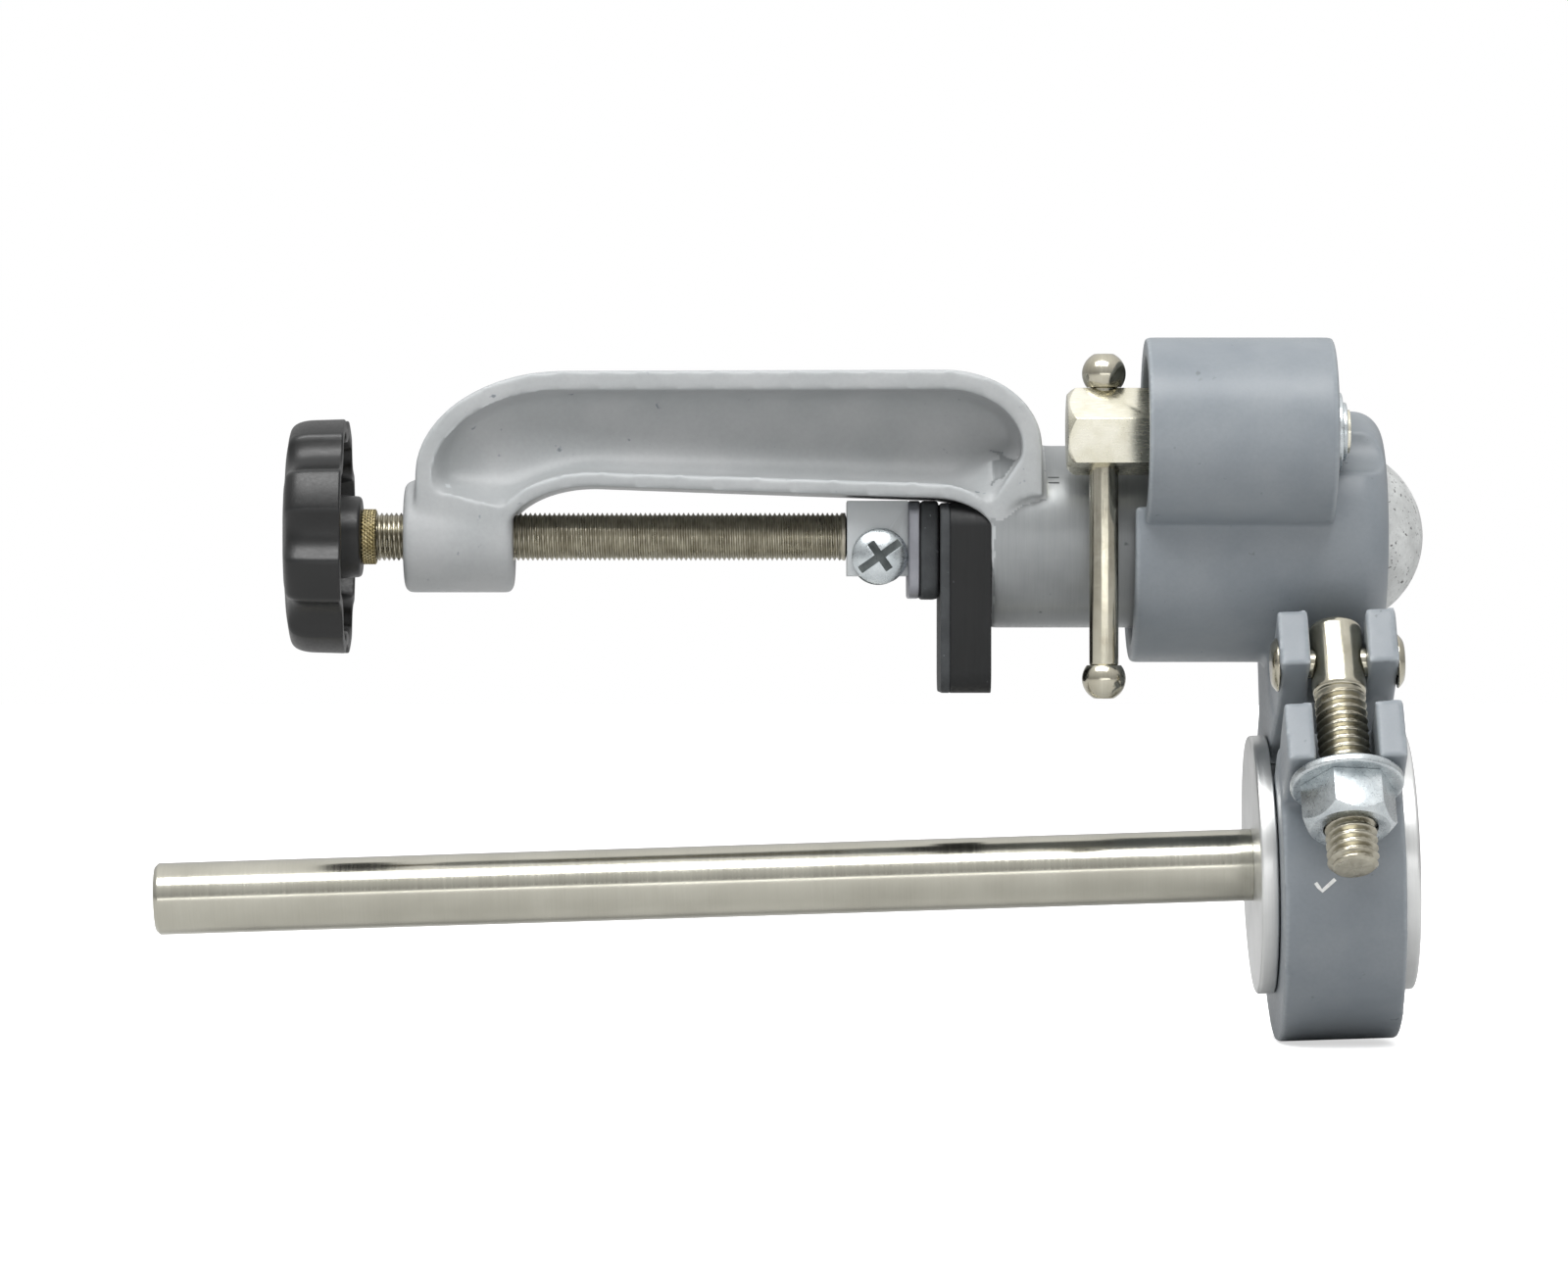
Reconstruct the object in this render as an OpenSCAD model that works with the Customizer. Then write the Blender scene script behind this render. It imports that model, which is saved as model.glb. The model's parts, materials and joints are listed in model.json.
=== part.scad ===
// Bench clamp with a swivel head that holds a long round arm.
// X runs along the post and the spindle, +Z is up, and -Y is the side with the lock lever.
// The origin is on the face of the fixed jaw pad, on the spindle's axis.

/* [Clamp frame] */
// Opening left between the closed jaws
jaw_gap = 0.3; // [0.3:0.1:2]
// Clear length between the spindle boss and the fixed jaw pad
throat_len = 88.6; // [70:0.2:120]
// Length of the spindle boss
boss_len = 22.8; // [16:0.2:30]
// Diameter of the spindle boss
boss_d = 23.3; // [20:0.1:28]
// Height of the arm's top above the spindle axis
arm_top = 34.2; // [30:0.2:44]
// Height of the arm's lower edge at the boss end
arm_low = 10.2; // [9.4:0.1:12]
// Height of the arm's lower edge at the fixed jaw
arm_low_jaw = 7.8; // [7.6:0.1:8.6]
// Width of the arm at the boss end
arm_w_boss = 21; // [18:0.5:22]
// Thickness of the outer flange
flange_out = 4.1; // [3:0.1:5]
// Thickness of the inner flange
flange_in = 3.1; // [2.5:0.1:4]
// Thickness of the web between the flanges
web_t = 8; // [5:0.5:12]

/* [Post] */
// Diameter of the post that the head turns on
post_d = 38; // [32:0.5:44]
// Straight length of the post
post_len = 71.6; // [66:0.2:90]
// Bore of the hollow post
post_bore_d = 28; // [20:0.5:30]

/* [Jaws] */
// Height of the fixed jaw below the axis
fixed_jaw_drop = 32.5; // [24:0.5:40]
// Height of the fixed jaw above the axis
fixed_jaw_rise = 6.8; // [5:0.1:7.2]
// Width of the fixed jaw
fixed_jaw_w = 36; // [28:0.5:42]
// Thickness of the fixed jaw's body
fixed_jaw_t = 8.4; // [6:0.1:11]
// Thickness of the fixed jaw's facing pad
facing_t = 2; // [1:0.1:3]
// Width of the moving jaw
jaw_w = 22; // [20:0.5:26]
// Length of the moving jaw's block
jaw_len = 12.6; // [11.6:0.2:18]
// Height of the block above the axis
jaw_rise = 7.3; // [6.6:0.1:7.3]
// Height of the block below the axis
jaw_drop = 8.2; // [8:0.1:11]
// Thickness of the moving jaw's plate
plate_t = 2.5; // [1.6:0.1:4]
// Thickness of the moving jaw's rubber pad
pad_t = 3.8; // [2:0.1:6]
// Depth of the plate below the axis
plate_drop = 12.9; // [10:0.1:16]
// Diameter of the jaw screws
jaw_screw_d = 5; // [4:0.5:5]
// Head diameter of the jaw screws
jaw_screw_head_d = 11.6; // [9:0.1:11.6]

/* [Spindle and knob] */
// Diameter over the spindle's thread
spindle_d = 10; // [8:0.5:11]
// Length of spindle outside the boss when the jaws are closed
spindle_out = 5.9; // [3:0.1:12]
// Diameter of the knob
knob_d = 50; // [40:0.5:64]
// Thickness of the knob
knob_t = 12.9; // [10:0.1:20]
// Number of lobes on the knob
knob_lobes = 8; // [5:1:10]
// Diameter of the boss behind the knob
knob_boss_d = 17.6; // [15.5:0.1:22]
// Length of the knurled collar
collar_len = 3.1; // [2:0.1:6]

/* [Swivel head] */
// Gap on the post between the frame and the head
head_gap = 18.8; // [18:0.1:30]
// Length of the head along the post
head_len = 52.4; // [50:0.2:54]
// Wall of the head around the post
head_wall = 7.2; // [5:0.1:9]
// Rounding of the head's outer end
head_round = 6; // [3:0.5:7]
// Distance from the post's surface to the lock shaft's axis
lock_gap = 12.65; // [12.4:0.05:14]
// Angle of the lock shaft above the front of the post
lock_angle = 42.06; // [41:0.02:43]
// Radius of the lobe around the lock shaft
lobe_r = 19.3; // [17:0.1:21]
// Length of the lobe
lobe_len = 38.5; // [34:0.5:42]
// Depth of the open recess in the head's face
recess_depth = 8; // [5:0.5:12]

/* [Lock lever] */
// Width across the flats of the hexagon head
hex_af = 16; // [14:0.5:18]
// Length of the hexagon head
hex_len = 17; // [14:0.2:20]
// Diameter of the lock shaft
lock_d = 12; // [10:0.2:13]
// Diameter of the tommy bar
bar_d = 6; // [5:0.1:6.4]
// Length of the tommy bar between its ball ends
bar_len = 57; // [40:0.5:66]
// Diameter of the bar's ball ends
ball_d = 9; // [8:0.1:9.4]

/* [Ring clamp] */
// Distance from the post axis down to the ring's axis
ring_drop = 68; // [67:0.2:80]
// Distance from the head's open face to the middle of the ring
ring_place = 42; // [40:0.2:43]
// Outside radius of the ring
ring_r = 37; // [34:0.2:37.2]
// Bore radius of the ring
ring_bore_r = 22; // [18:0.2:24]
// Width of the ring
ring_w = 25; // [22:0.2:28]
// Lean of the ring and arm against the post axis
lean = 1.8; // [0:0.1:3]
// Pivot pin's distance in front of the ring's axis
pin_front = 32; // [32:0.1:35]
// Pivot pin's height above the ring's axis
pin_up = 41.8; // [41.4:0.1:44]
// Tilt of the swing bolt towards the front
bolt_tilt = 30; // [28:1:32]
// Diameter over the swing bolt's thread
bolt_d = 11; // [9:0.1:11.2]
// Length of the swing bolt below its pivot
bolt_len = 47.3; // [43:0.1:54]
// Diameter of the pivot pin
pin_d = 6; // [4:0.1:7]
// Diameter of the washer under the nut
washer_d = 23; // [20:0.1:23.2]
// Slack left between the washer and the lower lugs
nut_slack = 1.2; // [1.2:0.1:2]

/* [Arm] */
// Diameter of the arm
rod_d = 15; // [12:0.1:18]
// Length of the arm from the ring's middle to its free end
rod_len = 245.3; // [150:0.5:320]
// Flange radius of the arm's spool
flange_r = 27; // [25:0.2:30]
// Flange thickness of the arm's spool
flange_t = 3.6; // [2.5:0.1:5]

/* [Hidden] */
$fn = 64;
fit = 0.06;      // radial clearance of every running fit
eps = 0.02;      // how far a cut runs past the face it opens
far = 200;       // longer than any cut needs

// places along the post
boss_x1 = -throat_len;
boss_x0 = boss_x1 - boss_len;
post_x0 = facing_t + fixed_jaw_t;
post_x1 = post_x0 + post_len;
post_r = post_d / 2;
arm_inset = 2.6;
arm_overlap = 10.5;
arm_x0 = boss_x0 + arm_inset;
arm_x1 = post_x0 + arm_overlap;
arm_half_post = post_r + 0.6;
arm_half_boss = arm_w_boss / 2;
saddle_r = 9.4;
saddle_z = -1.2;
corner_boss = [30.7, 21.5];
corner_post = [20, 16];
inner_boss_x1 = boss_x1 - 1.4;
inner_boss_r = 18;
inner_post_r = 13.5;
boss_edge = 1;
post_wall_x1 = post_x0 + 12;
jaw_bolt_place = [0, 8, -8];
jaw_bolt_r = 2;
jaw_bolt_cone = 2.2;
jaw_bolt_len = 8;
jaw_corner = 5;
neck_start = post_x0 - 16;
neck_start_r = 6;
plug_len = 8;

// moving jaw
pad_x1 = -jaw_gap;
pad_x0 = pad_x1 - pad_t;
plate_x0 = pad_x0 - plate_t;
jaw_x1 = plate_x0;
jaw_x0 = jaw_x1 - jaw_len;
disc_t = 1.5;
spindle_r = spindle_d / 2;
spindle_x1 = jaw_x1 - disc_t - 0.1;
tip_t = 1.5;
neck_len = jaw_screw_d + 0.5;
neck_r = spindle_r * 0.62;
neck_x1 = spindle_x1 - tip_t;
neck_x0 = neck_x1 - neck_len;
screw_x = neck_x1 - neck_len / 2;
screw_z = -0.84 * spindle_r;
screw_tip_y = neck_r + 0.5;
screw_head_t = 3.2;

// knob
spindle_x0 = boss_x0 - spindle_out;
collar_x0 = spindle_x0 - collar_len;
knob_boss_x0 = collar_x0 - 3;
knob_x0 = knob_boss_x0 - knob_t;
collar_d = spindle_d + 1.6;
knob_hub_len = 8;
knob_web = 4;
knob_rim = 3.2;
flute_r = 6.5;
flute_depth = 2.6;

// swivel head
head_x0 = arm_x1 + head_gap;
head_r = post_r + head_wall;
lobe_x0 = head_x0 + 2;
lobe_x1 = lobe_x0 + lobe_len;
recess_wall = 3.8;
dome_gap = 0.3;
lock_r = lock_d / 2;
shoe_x = lobe_x0 + 22;
shoe_d = 7;
lock_reach = post_r + lock_gap;
lock_front = lock_reach * cos(lock_angle);
lock_up = lock_reach * sin(lock_angle);
cam_len = shoe_d + 1;
cam_throw = 0.25;
cam_r = lock_r - cam_throw - fit;
shoe_in = cam_r - cam_throw + fit;
shoe_out = lock_reach - post_r - 0.3;
lock_end_len = 3.4;
lock_end_r = 4.5;
lock_washer_r = 8;
lock_washer_t = 1.6;
lock_washer_x0 = lobe_x1 + 0.1;
spot_face_r = lock_washer_r + 0.4;
clip_r = 6;
clip_t = 1;
clip_x0 = lock_washer_x0 + lock_washer_t;

// lock lever
hex_x1 = lobe_x0 + 1;
hex_x0 = hex_x1 - hex_len;
bar_x = hex_x0 + 7.6;
ball_r = ball_d / 2;
hex_corner = hex_af / sqrt(3);
hex_turn = 15;
bar_top = hex_corner * cos(hex_turn) + 0.15;
bar_low = bar_top - bar_len;

// ring clamp, in its own leaning frame
ring_x = head_x0 + ring_place;
ring_half = ring_w / 2;
spool_r = ring_bore_r - fit;
lug_half = ring_half - 0.4;
lug_front = 7;
lug_top = 8.8;
slit_top = -3.8;
slit_low = -12.6;
lug_low = -25.8;
head_slot = bolt_d / 2 + 0.3;
low_slot = bolt_d / 2 + 0.75;
eye_top = 8.4;
pin_r = pin_d / 2;
pin_head_r = 5.5;
pin_head_t = 1.5;
washer_t = 2;
nut_t = 9.4;
nut_af = 17;
washer_z1 = lug_low - nut_slack;
nut_z1 = washer_z1 - washer_t;
thread_core = bolt_d / 2 + fit;
rod_r = rod_d / 2;
rod_edge = 0.8;
spigot_r = rod_r - 1;
side_gap = 0.3;
screw_r = 3;
screw_cone = 3;
screw_len = 16;
upper_lug_depth = lug_front + 30;
lower_lug_depth = lug_front + 24;
ring_neck = [ring_w - 4, 28, ring_drop - 24 - post_r];
ring_neck_place = [-ring_half, -10, 24];
pin_relief_r = pin_head_r + 1.5;
bolt_edge = 1;
nut_edge = [1.8, 2.2];

// points of an elliptical arc in the XZ plane
function arc(c, r, a0, a1, n = 14) =
    [for (i = [0:n]) let (a = a0 + (a1 - a0) * i / n) [c[0] + r[0] * cos(a), c[1] + r[1] * sin(a)]];

// a round bar along X
module bar_x_axis(r, x0, x1) {
    translate([x0, 0, 0]) rotate([0, 90, 0]) cylinder(r = r, h = x1 - x0);
}

// a cone along X
module cone_x(r0, r1, x0, x1) {
    translate([x0, 0, 0]) rotate([0, 90, 0]) cylinder(r1 = r0, r2 = r1, h = x1 - x0);
}

// a slab cut from an outline in the XZ plane, centred on Y
module side_slab(points, w) {
    rotate([90, 0, 0]) linear_extrude(w, center = true) polygon(points);
}

// the frame of the lock shaft: its axis on X
module at_lock() {
    translate([0, -lock_front, lock_up]) children();
}

// the frame of the ring: its axis on X, leaning against the post
module at_ring() {
    translate([ring_x, 0, -ring_drop]) rotate([0, -lean, 0]) children();
}

// the frame of the swing bolt: the pivot at the origin, the bolt running down -Z
module at_fork() {
    at_ring() translate([0, -pin_front, pin_up]) rotate([-bolt_tilt, 0, 0]) children();
}

arm_outline = concat(
    [[arm_x0, 0]],
    arc([arm_x0 + corner_boss[0], arm_top - corner_boss[1]], corner_boss, 180, 90),
    arc([arm_x1 - corner_post[0], arm_top - corner_post[1]], corner_post, 90, 0),
    arc([arm_x1, saddle_z], [saddle_r, saddle_r], 90, 180),
    arc([arm_x1 - saddle_r - inner_post_r, saddle_z], [inner_post_r, arm_low_jaw - saddle_z], 0, 90),
    arc([inner_boss_x1 + inner_boss_r, 0], [inner_boss_r, arm_low], 90, 180),
    [[inner_boss_x1, 0]]);

pocket_outline = concat(
    arc([arm_x0 + corner_boss[0], arm_top - corner_boss[1]],
        [corner_boss[0] - flange_out, corner_boss[1] - flange_out], 190, 90),
    arc([arm_x1 - corner_post[0], arm_top - corner_post[1]],
        [corner_post[0] - flange_out, corner_post[1] - flange_out], 90, -10),
    arc([arm_x1 - saddle_r - inner_post_r, saddle_z],
        [inner_post_r + flange_in, arm_low_jaw - saddle_z + flange_in], 42, 90),
    arc([inner_boss_x1 + inner_boss_r, 0], [inner_boss_r + flange_in, arm_low + flange_in], 90, 152));

// the C-shaped arm, wider towards the post
module arm() {
    reach = arm_half_post + 1;
    difference() {
        intersection() {
            side_slab(arm_outline, 2 * reach);
            translate([0, 0, -far / 2]) linear_extrude(far) polygon([
                [arm_x0 - 1, -arm_half_boss], [arm_x1 + 1, -arm_half_post],
                [arm_x1 + 1, arm_half_post], [arm_x0 - 1, arm_half_boss]]);
        }
        for (side = [-1, 1])
            translate([0, side * (web_t / 2 + reach), 0]) side_slab(pocket_outline, 2 * reach);
    }
}

module clamp_frame() color("slategray") {
    difference() {
        union() {
            arm();
            bar_x_axis(boss_d / 2, boss_x0 + boss_edge, boss_x1 - boss_edge);
            cone_x(boss_d / 2 - boss_edge, boss_d / 2, boss_x0, boss_x0 + boss_edge);
            cone_x(boss_d / 2, boss_d / 2 - boss_edge, boss_x1 - boss_edge, boss_x1);
            bar_x_axis(post_r, post_x0, post_x1);
            intersection() {
                side_slab(arm_outline, 2 * post_r);
                cone_x(neck_start_r, post_r, neck_start, post_x0);
            }
        }
        bar_x_axis(spindle_r + fit, boss_x0 - 1, boss_x1 + 1);
        bar_x_axis(post_bore_d / 2, post_wall_x1, post_x1 + 1);
        at_jaw_bolts() bar_x_axis(jaw_bolt_r, post_x0 - 1, post_x0 + jaw_bolt_len + 1);
    }
}

// the rounded plug that closes the end of the post
module post_plug() color("silver") {
    bar_x_axis(post_bore_d / 2, post_x1 - plug_len, post_x1);
    intersection() {
        translate([post_x1, 0, 0]) sphere(r = post_r);
        bar_x_axis(post_r + 1, post_x1, post_x1 + post_r + 1);
    }
}

// the two screws of the fixed jaw
module at_jaw_bolts() {
    for (side = [0, 1]) mirror([0, side, 0]) translate(jaw_bolt_place) children();
}

// rounded plate in the YZ plane, from x0 to x1
module jaw_slab(w, z0, z1, corner, x0, x1) {
    translate([x0, 0, 0]) rotate([0, 90, 0]) rotate([0, 0, 90]) linear_extrude(x1 - x0) union() {
        translate([-w / 2 + corner, z0]) square([w - 2 * corner, z1 - z0]);
        translate([-w / 2, z0 + corner]) square([w, z1 - z0 - 2 * corner]);
        for (sx = [-1, 1], z = [z0 + corner, z1 - corner])
            translate([sx * (w / 2 - corner), z]) circle(r = corner);
    }
}

module fixed_jaw() color("#26272a") {
    difference() {
        jaw_slab(fixed_jaw_w, -fixed_jaw_drop, fixed_jaw_rise, jaw_corner, facing_t, post_x0);
        side_slab(arm_outline, far);
        at_jaw_bolts() {
            bar_x_axis(jaw_bolt_r, facing_t - 1, post_x0 + 1);
            cone_x(jaw_bolt_r + jaw_bolt_cone + eps, jaw_bolt_r, facing_t - eps, facing_t + jaw_bolt_cone);
        }
    }
}

module fixed_jaw_pad() color("#303134") {
    difference() {
        jaw_slab(fixed_jaw_w, -fixed_jaw_drop, fixed_jaw_rise, jaw_corner, 0, facing_t);
        side_slab(arm_outline, far);
    }
}

module fixed_jaw_screws() color("gainsboro") {
    at_jaw_bolts() {
        bar_x_axis(jaw_bolt_r, facing_t + jaw_bolt_cone, post_x0 + jaw_bolt_len);
        cone_x(jaw_bolt_r + jaw_bolt_cone, jaw_bolt_r, facing_t, facing_t + jaw_bolt_cone);
    }
}

module jaw_block() color("slategray") {
    difference() {
        translate([jaw_x0, -jaw_w / 2, -jaw_drop]) cube([jaw_len, jaw_w, jaw_rise + jaw_drop]);
        bar_x_axis(spindle_r + fit, jaw_x0 - 1, jaw_x1 + 1);
        translate([screw_x, 0, screw_z]) rotate([90, 0, 0])
            cylinder(d = jaw_screw_d, h = far, center = true);
    }
}

module jaw_plate() color("lightsteelblue") {
    jaw_slab(jaw_w + 4, -plate_drop, jaw_rise, 3, plate_x0, pad_x0);
}

module jaw_pad() color("#3a3a3c") {
    jaw_slab(jaw_w + 4, -plate_drop - 0.2, jaw_rise, 3, pad_x0, pad_x1);
}

module jaw_screws() color("gainsboro") {
    for (side = [0, 1]) mirror([0, side, 0]) translate([screw_x, 0, screw_z]) rotate([90, 0, 0]) {
        translate([0, 0, screw_tip_y]) cylinder(d = jaw_screw_d, h = jaw_w / 2 - screw_tip_y);
        difference() {
            intersection() {
                translate([0, 0, jaw_w / 2]) cylinder(d = jaw_screw_head_d, h = screw_head_t);
                translate([0, 0, jaw_w / 2 + screw_head_t - 9]) sphere(r = 9);
            }
            rotate([0, 0, 35]) translate([-far / 2, -0.8, jaw_w / 2 + 1.6]) cube([far, 1.6, screw_head_t]);
            rotate([0, 0, -55]) translate([-3.4, -0.8, jaw_w / 2 + 1.2]) cube([6.8, 1.6, screw_head_t]);
        }
    }
}

module thrust_disc() color("silver") {
    bar_x_axis(spindle_r, jaw_x1 - disc_t, jaw_x1);
}

module spindle() color("darkkhaki") {
    bar_x_axis(spindle_r, collar_x0 - knob_hub_len, neck_x0);
    bar_x_axis(neck_r, neck_x0, neck_x1);
    bar_x_axis(spindle_r, neck_x1, spindle_x1);
}

module knurled_collar() color("tan") {
    difference() {
        bar_x_axis(collar_d / 2, collar_x0, spindle_x0);
        bar_x_axis(spindle_r, collar_x0 - 1, spindle_x0 + 1);
    }
}

module knob() color("#1c1c1e") {
    rim_x1 = knob_boss_x0;
    cup_r = knob_d / 2 - flute_depth - knob_rim;
    difference() {
        union() {
            difference() {
                bar_x_axis(knob_d / 2, knob_x0, rim_x1);
                bar_x_axis(cup_r, knob_x0 + knob_web, rim_x1 + 1);
                for (i = [0:knob_lobes - 1]) rotate([360 / knob_lobes * i, 0, 0])
                    translate([0, 0, knob_d / 2 + flute_r - flute_depth])
                        bar_x_axis(flute_r, knob_x0 - 1, rim_x1 + 1);
            }
            bar_x_axis(knob_boss_d / 2, knob_x0 + 1, collar_x0);
        }
        bar_x_axis(spindle_r, collar_x0 - knob_hub_len, collar_x0 + 1);
    }
}

// the sleeve around the post, rounded at its outer end
module sleeve() {
    translate([head_x0, 0, 0]) rotate([0, 90, 0]) rotate_extrude() union() {
        square([head_r - head_round, head_len]);
        square([head_r, head_len - head_round]);
        translate([head_r - head_round, head_len - head_round]) circle(r = head_round);
    }
}

module upper_lugs() {
    translate([-lug_half, -lug_front, slit_top]) cube([2 * lug_half, upper_lug_depth, lug_top - slit_top]);
}

module lower_lugs() {
    translate([-lug_half, -lug_front, lug_low]) cube([2 * lug_half, lower_lug_depth, slit_low - lug_low]);
}

module swivel_head() color("slategray") {
    eye_clear = norm([eye_top, bolt_d / 2]) + 0.5;
    difference() {
        union() {
            sleeve();
            at_lock() bar_x_axis(lobe_r, lobe_x0, lobe_x1);
            at_ring() {
                bar_x_axis(ring_r, -ring_half, ring_half);
                translate(ring_neck_place) cube(ring_neck);
            }
            at_fork() upper_lugs();
            at_fork() lower_lugs();
        }
        // post bore, the rounded seat at its end and the open recess in the face
        bar_x_axis(post_r + fit, head_x0 - 1, post_x1);
        translate([post_x1, 0, 0]) sphere(r = post_r + dome_gap);
        translate([post_x1 - 1, 0, 0]) rotate([0, 90, 0]) cylinder(r = post_r + dome_gap, h = 1);
        bar_x_axis(head_r - recess_wall, head_x0 - 1, head_x0 + recess_depth);
        at_lock() bar_x_axis(lobe_r - recess_wall, lobe_x0 - far, head_x0 + recess_depth);
        // lock shaft and shoe
        at_lock() bar_x_axis(lock_r + fit, head_x0, lobe_x1 + 1);
        at_lock() bar_x_axis(spot_face_r, lobe_x1, lobe_x1 + far);
        at_lock() rotate([-lock_angle, 0, 0]) translate([shoe_x, 0, 0]) rotate([-90, 0, 0])
            cylinder(d = shoe_d + 2 * fit, h = lock_reach - post_r + 2);
        // ring bore, slit, slots and pivot
        at_ring() bar_x_axis(ring_bore_r, -ring_half - 1, ring_half + 1);
        at_fork() {
            translate([-far / 2, -far, slit_low]) cube([far, far + 32, slit_top - slit_low]);
            translate([-head_slot, -far, slit_top - 1]) cube([2 * head_slot, far, lug_top - slit_top + 9]);
            bar_x_axis(eye_clear, -head_slot, head_slot);
            translate([-low_slot, -far, lug_low - 1])
                cube([2 * low_slot, far + low_slot, slit_low - lug_low + 2]);
            bar_x_axis(pin_r, -far, far);
            for (side = [0, 1]) mirror([side, 0, 0])
                bar_x_axis(pin_relief_r, lug_half, lug_half + 20);
        }
    }
}

module pivot_pin() color("silver") {
    at_fork() {
        bar_x_axis(pin_r, -lug_half, lug_half);
        for (side = [0, 1]) mirror([side, 0, 0]) {
            bar_x_axis(pin_head_r, lug_half, lug_half + pin_head_t / 2);
            cone_x(pin_head_r, pin_head_r - 1, lug_half + pin_head_t / 2, lug_half + pin_head_t);
        }
    }
}

module lock_shaft() color("khaki") {
    at_lock() difference() {
        union() {
            intersection() {
                rotate([hex_turn, 0, 0]) translate([hex_x0, 0, 0]) rotate([0, 90, 0])
                    cylinder(r = hex_corner, h = hex_len, $fn = 6);
                union() {
                    cone_x(hex_corner - 1.6, hex_corner + 0.1, hex_x0, hex_x0 + 1.8);
                    bar_x_axis(hex_corner + 0.1, hex_x0 + 1.8, hex_x1);
                }
            }
            bar_x_axis(lock_r, hex_x1, shoe_x - cam_len / 2);
            translate([0, -cam_throw * cos(lock_angle), cam_throw * sin(lock_angle)])
                bar_x_axis(cam_r, shoe_x - cam_len / 2, shoe_x + cam_len / 2);
            bar_x_axis(lock_r, shoe_x + cam_len / 2, lobe_x1 - 0.1);
            bar_x_axis(lock_end_r, lobe_x1 - 0.1, lobe_x1 + lock_end_len);
        }
        translate([bar_x, 0, -far / 2]) cylinder(d = bar_d + 2 * fit, h = far);
    }
}

module lock_washer() color("gainsboro") {
    at_lock() difference() {
        bar_x_axis(lock_washer_r, lock_washer_x0, clip_x0);
        bar_x_axis(lock_end_r, lobe_x1, lobe_x1 + 4);
    }
}

module lock_clip() color("gray") {
    at_lock() difference() {
        bar_x_axis(clip_r, clip_x0, clip_x0 + clip_t);
        bar_x_axis(lock_end_r, lobe_x1, lobe_x1 + 6);
    }
}

module lock_shoe() color("peru") {
    at_lock() rotate([-lock_angle, 0, 0]) translate([shoe_x, shoe_in, 0]) rotate([-90, 0, 0])
        cylinder(d = shoe_d, h = shoe_out - shoe_in);
}

module tommy_bar() color("silver") {
    at_lock() translate([bar_x, 0, bar_low]) cylinder(d = bar_d, h = bar_len);
}

module bar_ball_top() color("silver") {
    at_lock() translate([bar_x, 0, bar_top]) ball_end();
}

module bar_ball_low() color("silver") {
    at_lock() translate([bar_x, 0, bar_low]) rotate([180, 0, 0]) ball_end();
}

// a ball end standing on the bar's end
module ball_end() {
    lift = ball_r * 0.62;
    intersection() {
        translate([0, 0, lift]) sphere(r = ball_r);
        cylinder(r = ball_r + 1, h = 3 * ball_r);
    }
}

module swing_bolt() color("darkkhaki") {
    at_fork() difference() {
        union() {
            translate([0, 0, bolt_edge - bolt_len])
                cylinder(d = bolt_d, h = bolt_len + eye_top - 2 * bolt_edge);
            translate([0, 0, eye_top - bolt_edge])
                cylinder(r1 = bolt_d / 2, r2 = bolt_d / 2 - bolt_edge, h = bolt_edge);
            translate([0, 0, -bolt_len])
                cylinder(r1 = bolt_d / 2 - bolt_edge, r2 = bolt_d / 2, h = bolt_edge);
        }
        bar_x_axis(pin_r + fit, -far, far);
    }
}

module bolt_washer() color("gainsboro") {
    at_fork() translate([0, 0, nut_z1]) difference() {
        cylinder(d = washer_d, h = washer_t);
        translate([0, 0, -1]) cylinder(r = thread_core, h = washer_t + 2);
    }
}

module bolt_nut() color("gainsboro") {
    corner_r = nut_af / sqrt(3);
    at_fork() translate([0, 0, nut_z1 - nut_t - 0.02]) difference() {
        intersection() {
            rotate([0, 0, 10]) cylinder(r = corner_r, h = nut_t, $fn = 6);
            union() {
                cylinder(r1 = corner_r - nut_edge[0], r2 = corner_r + 0.1, h = nut_edge[1]);
                translate([0, 0, nut_edge[1]]) cylinder(r = corner_r + 0.1, h = nut_t);
            }
        }
        translate([0, 0, -1]) cylinder(r = thread_core, h = nut_t + 2);
    }
}

module arm_spool() color("lightgray") {
    at_ring() difference() {
        union() {
            bar_x_axis(flange_r, -ring_half - side_gap - flange_t, -ring_half - side_gap);
            bar_x_axis(spool_r, -ring_half - side_gap, ring_half + side_gap);
        }
        bar_x_axis(spigot_r, -far, far);
    }
}

module spool_disc() color("lightgray") {
    x0 = ring_half + side_gap;
    at_ring() difference() {
        bar_x_axis(flange_r, x0, x0 + flange_t);
        bar_x_axis(screw_r, x0 - 1, x0 + flange_t + 1);
        cone_x(screw_r, screw_r + screw_cone + eps, x0 + flange_t - screw_cone, x0 + flange_t + eps);
    }
}

module arm_rod() color("silver") {
    x1 = ring_half + side_gap;
    at_ring() difference() {
        union() {
            cone_x(rod_r - rod_edge, rod_r, -rod_len, rod_edge - rod_len);
            bar_x_axis(rod_r, rod_edge - rod_len, -x1 - flange_t);
            bar_x_axis(spigot_r, -x1 - flange_t, x1);
        }
        bar_x_axis(screw_r, x1 - screw_len - 2, x1 + 1);
    }
}

module spool_screw() color("gainsboro") {
    x0 = ring_half + side_gap;
    at_ring() {
        bar_x_axis(screw_r, x0 - screw_len, x0 + flange_t - screw_cone);
        cone_x(screw_r, screw_r + screw_cone, x0 + flange_t - screw_cone, x0 + flange_t);
    }
}

clamp_frame();
post_plug();
fixed_jaw();
fixed_jaw_pad();
fixed_jaw_screws();
jaw_block();
jaw_plate();
jaw_pad();
jaw_screws();
thrust_disc();
spindle();
knurled_collar();
knob();
swivel_head();
pivot_pin();
lock_shaft();
lock_washer();
lock_clip();
lock_shoe();
tommy_bar();
bar_ball_top();
bar_ball_low();
swing_bolt();
bolt_washer();
bolt_nut();
arm_spool();
spool_disc();
arm_rod();
spool_screw();
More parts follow.
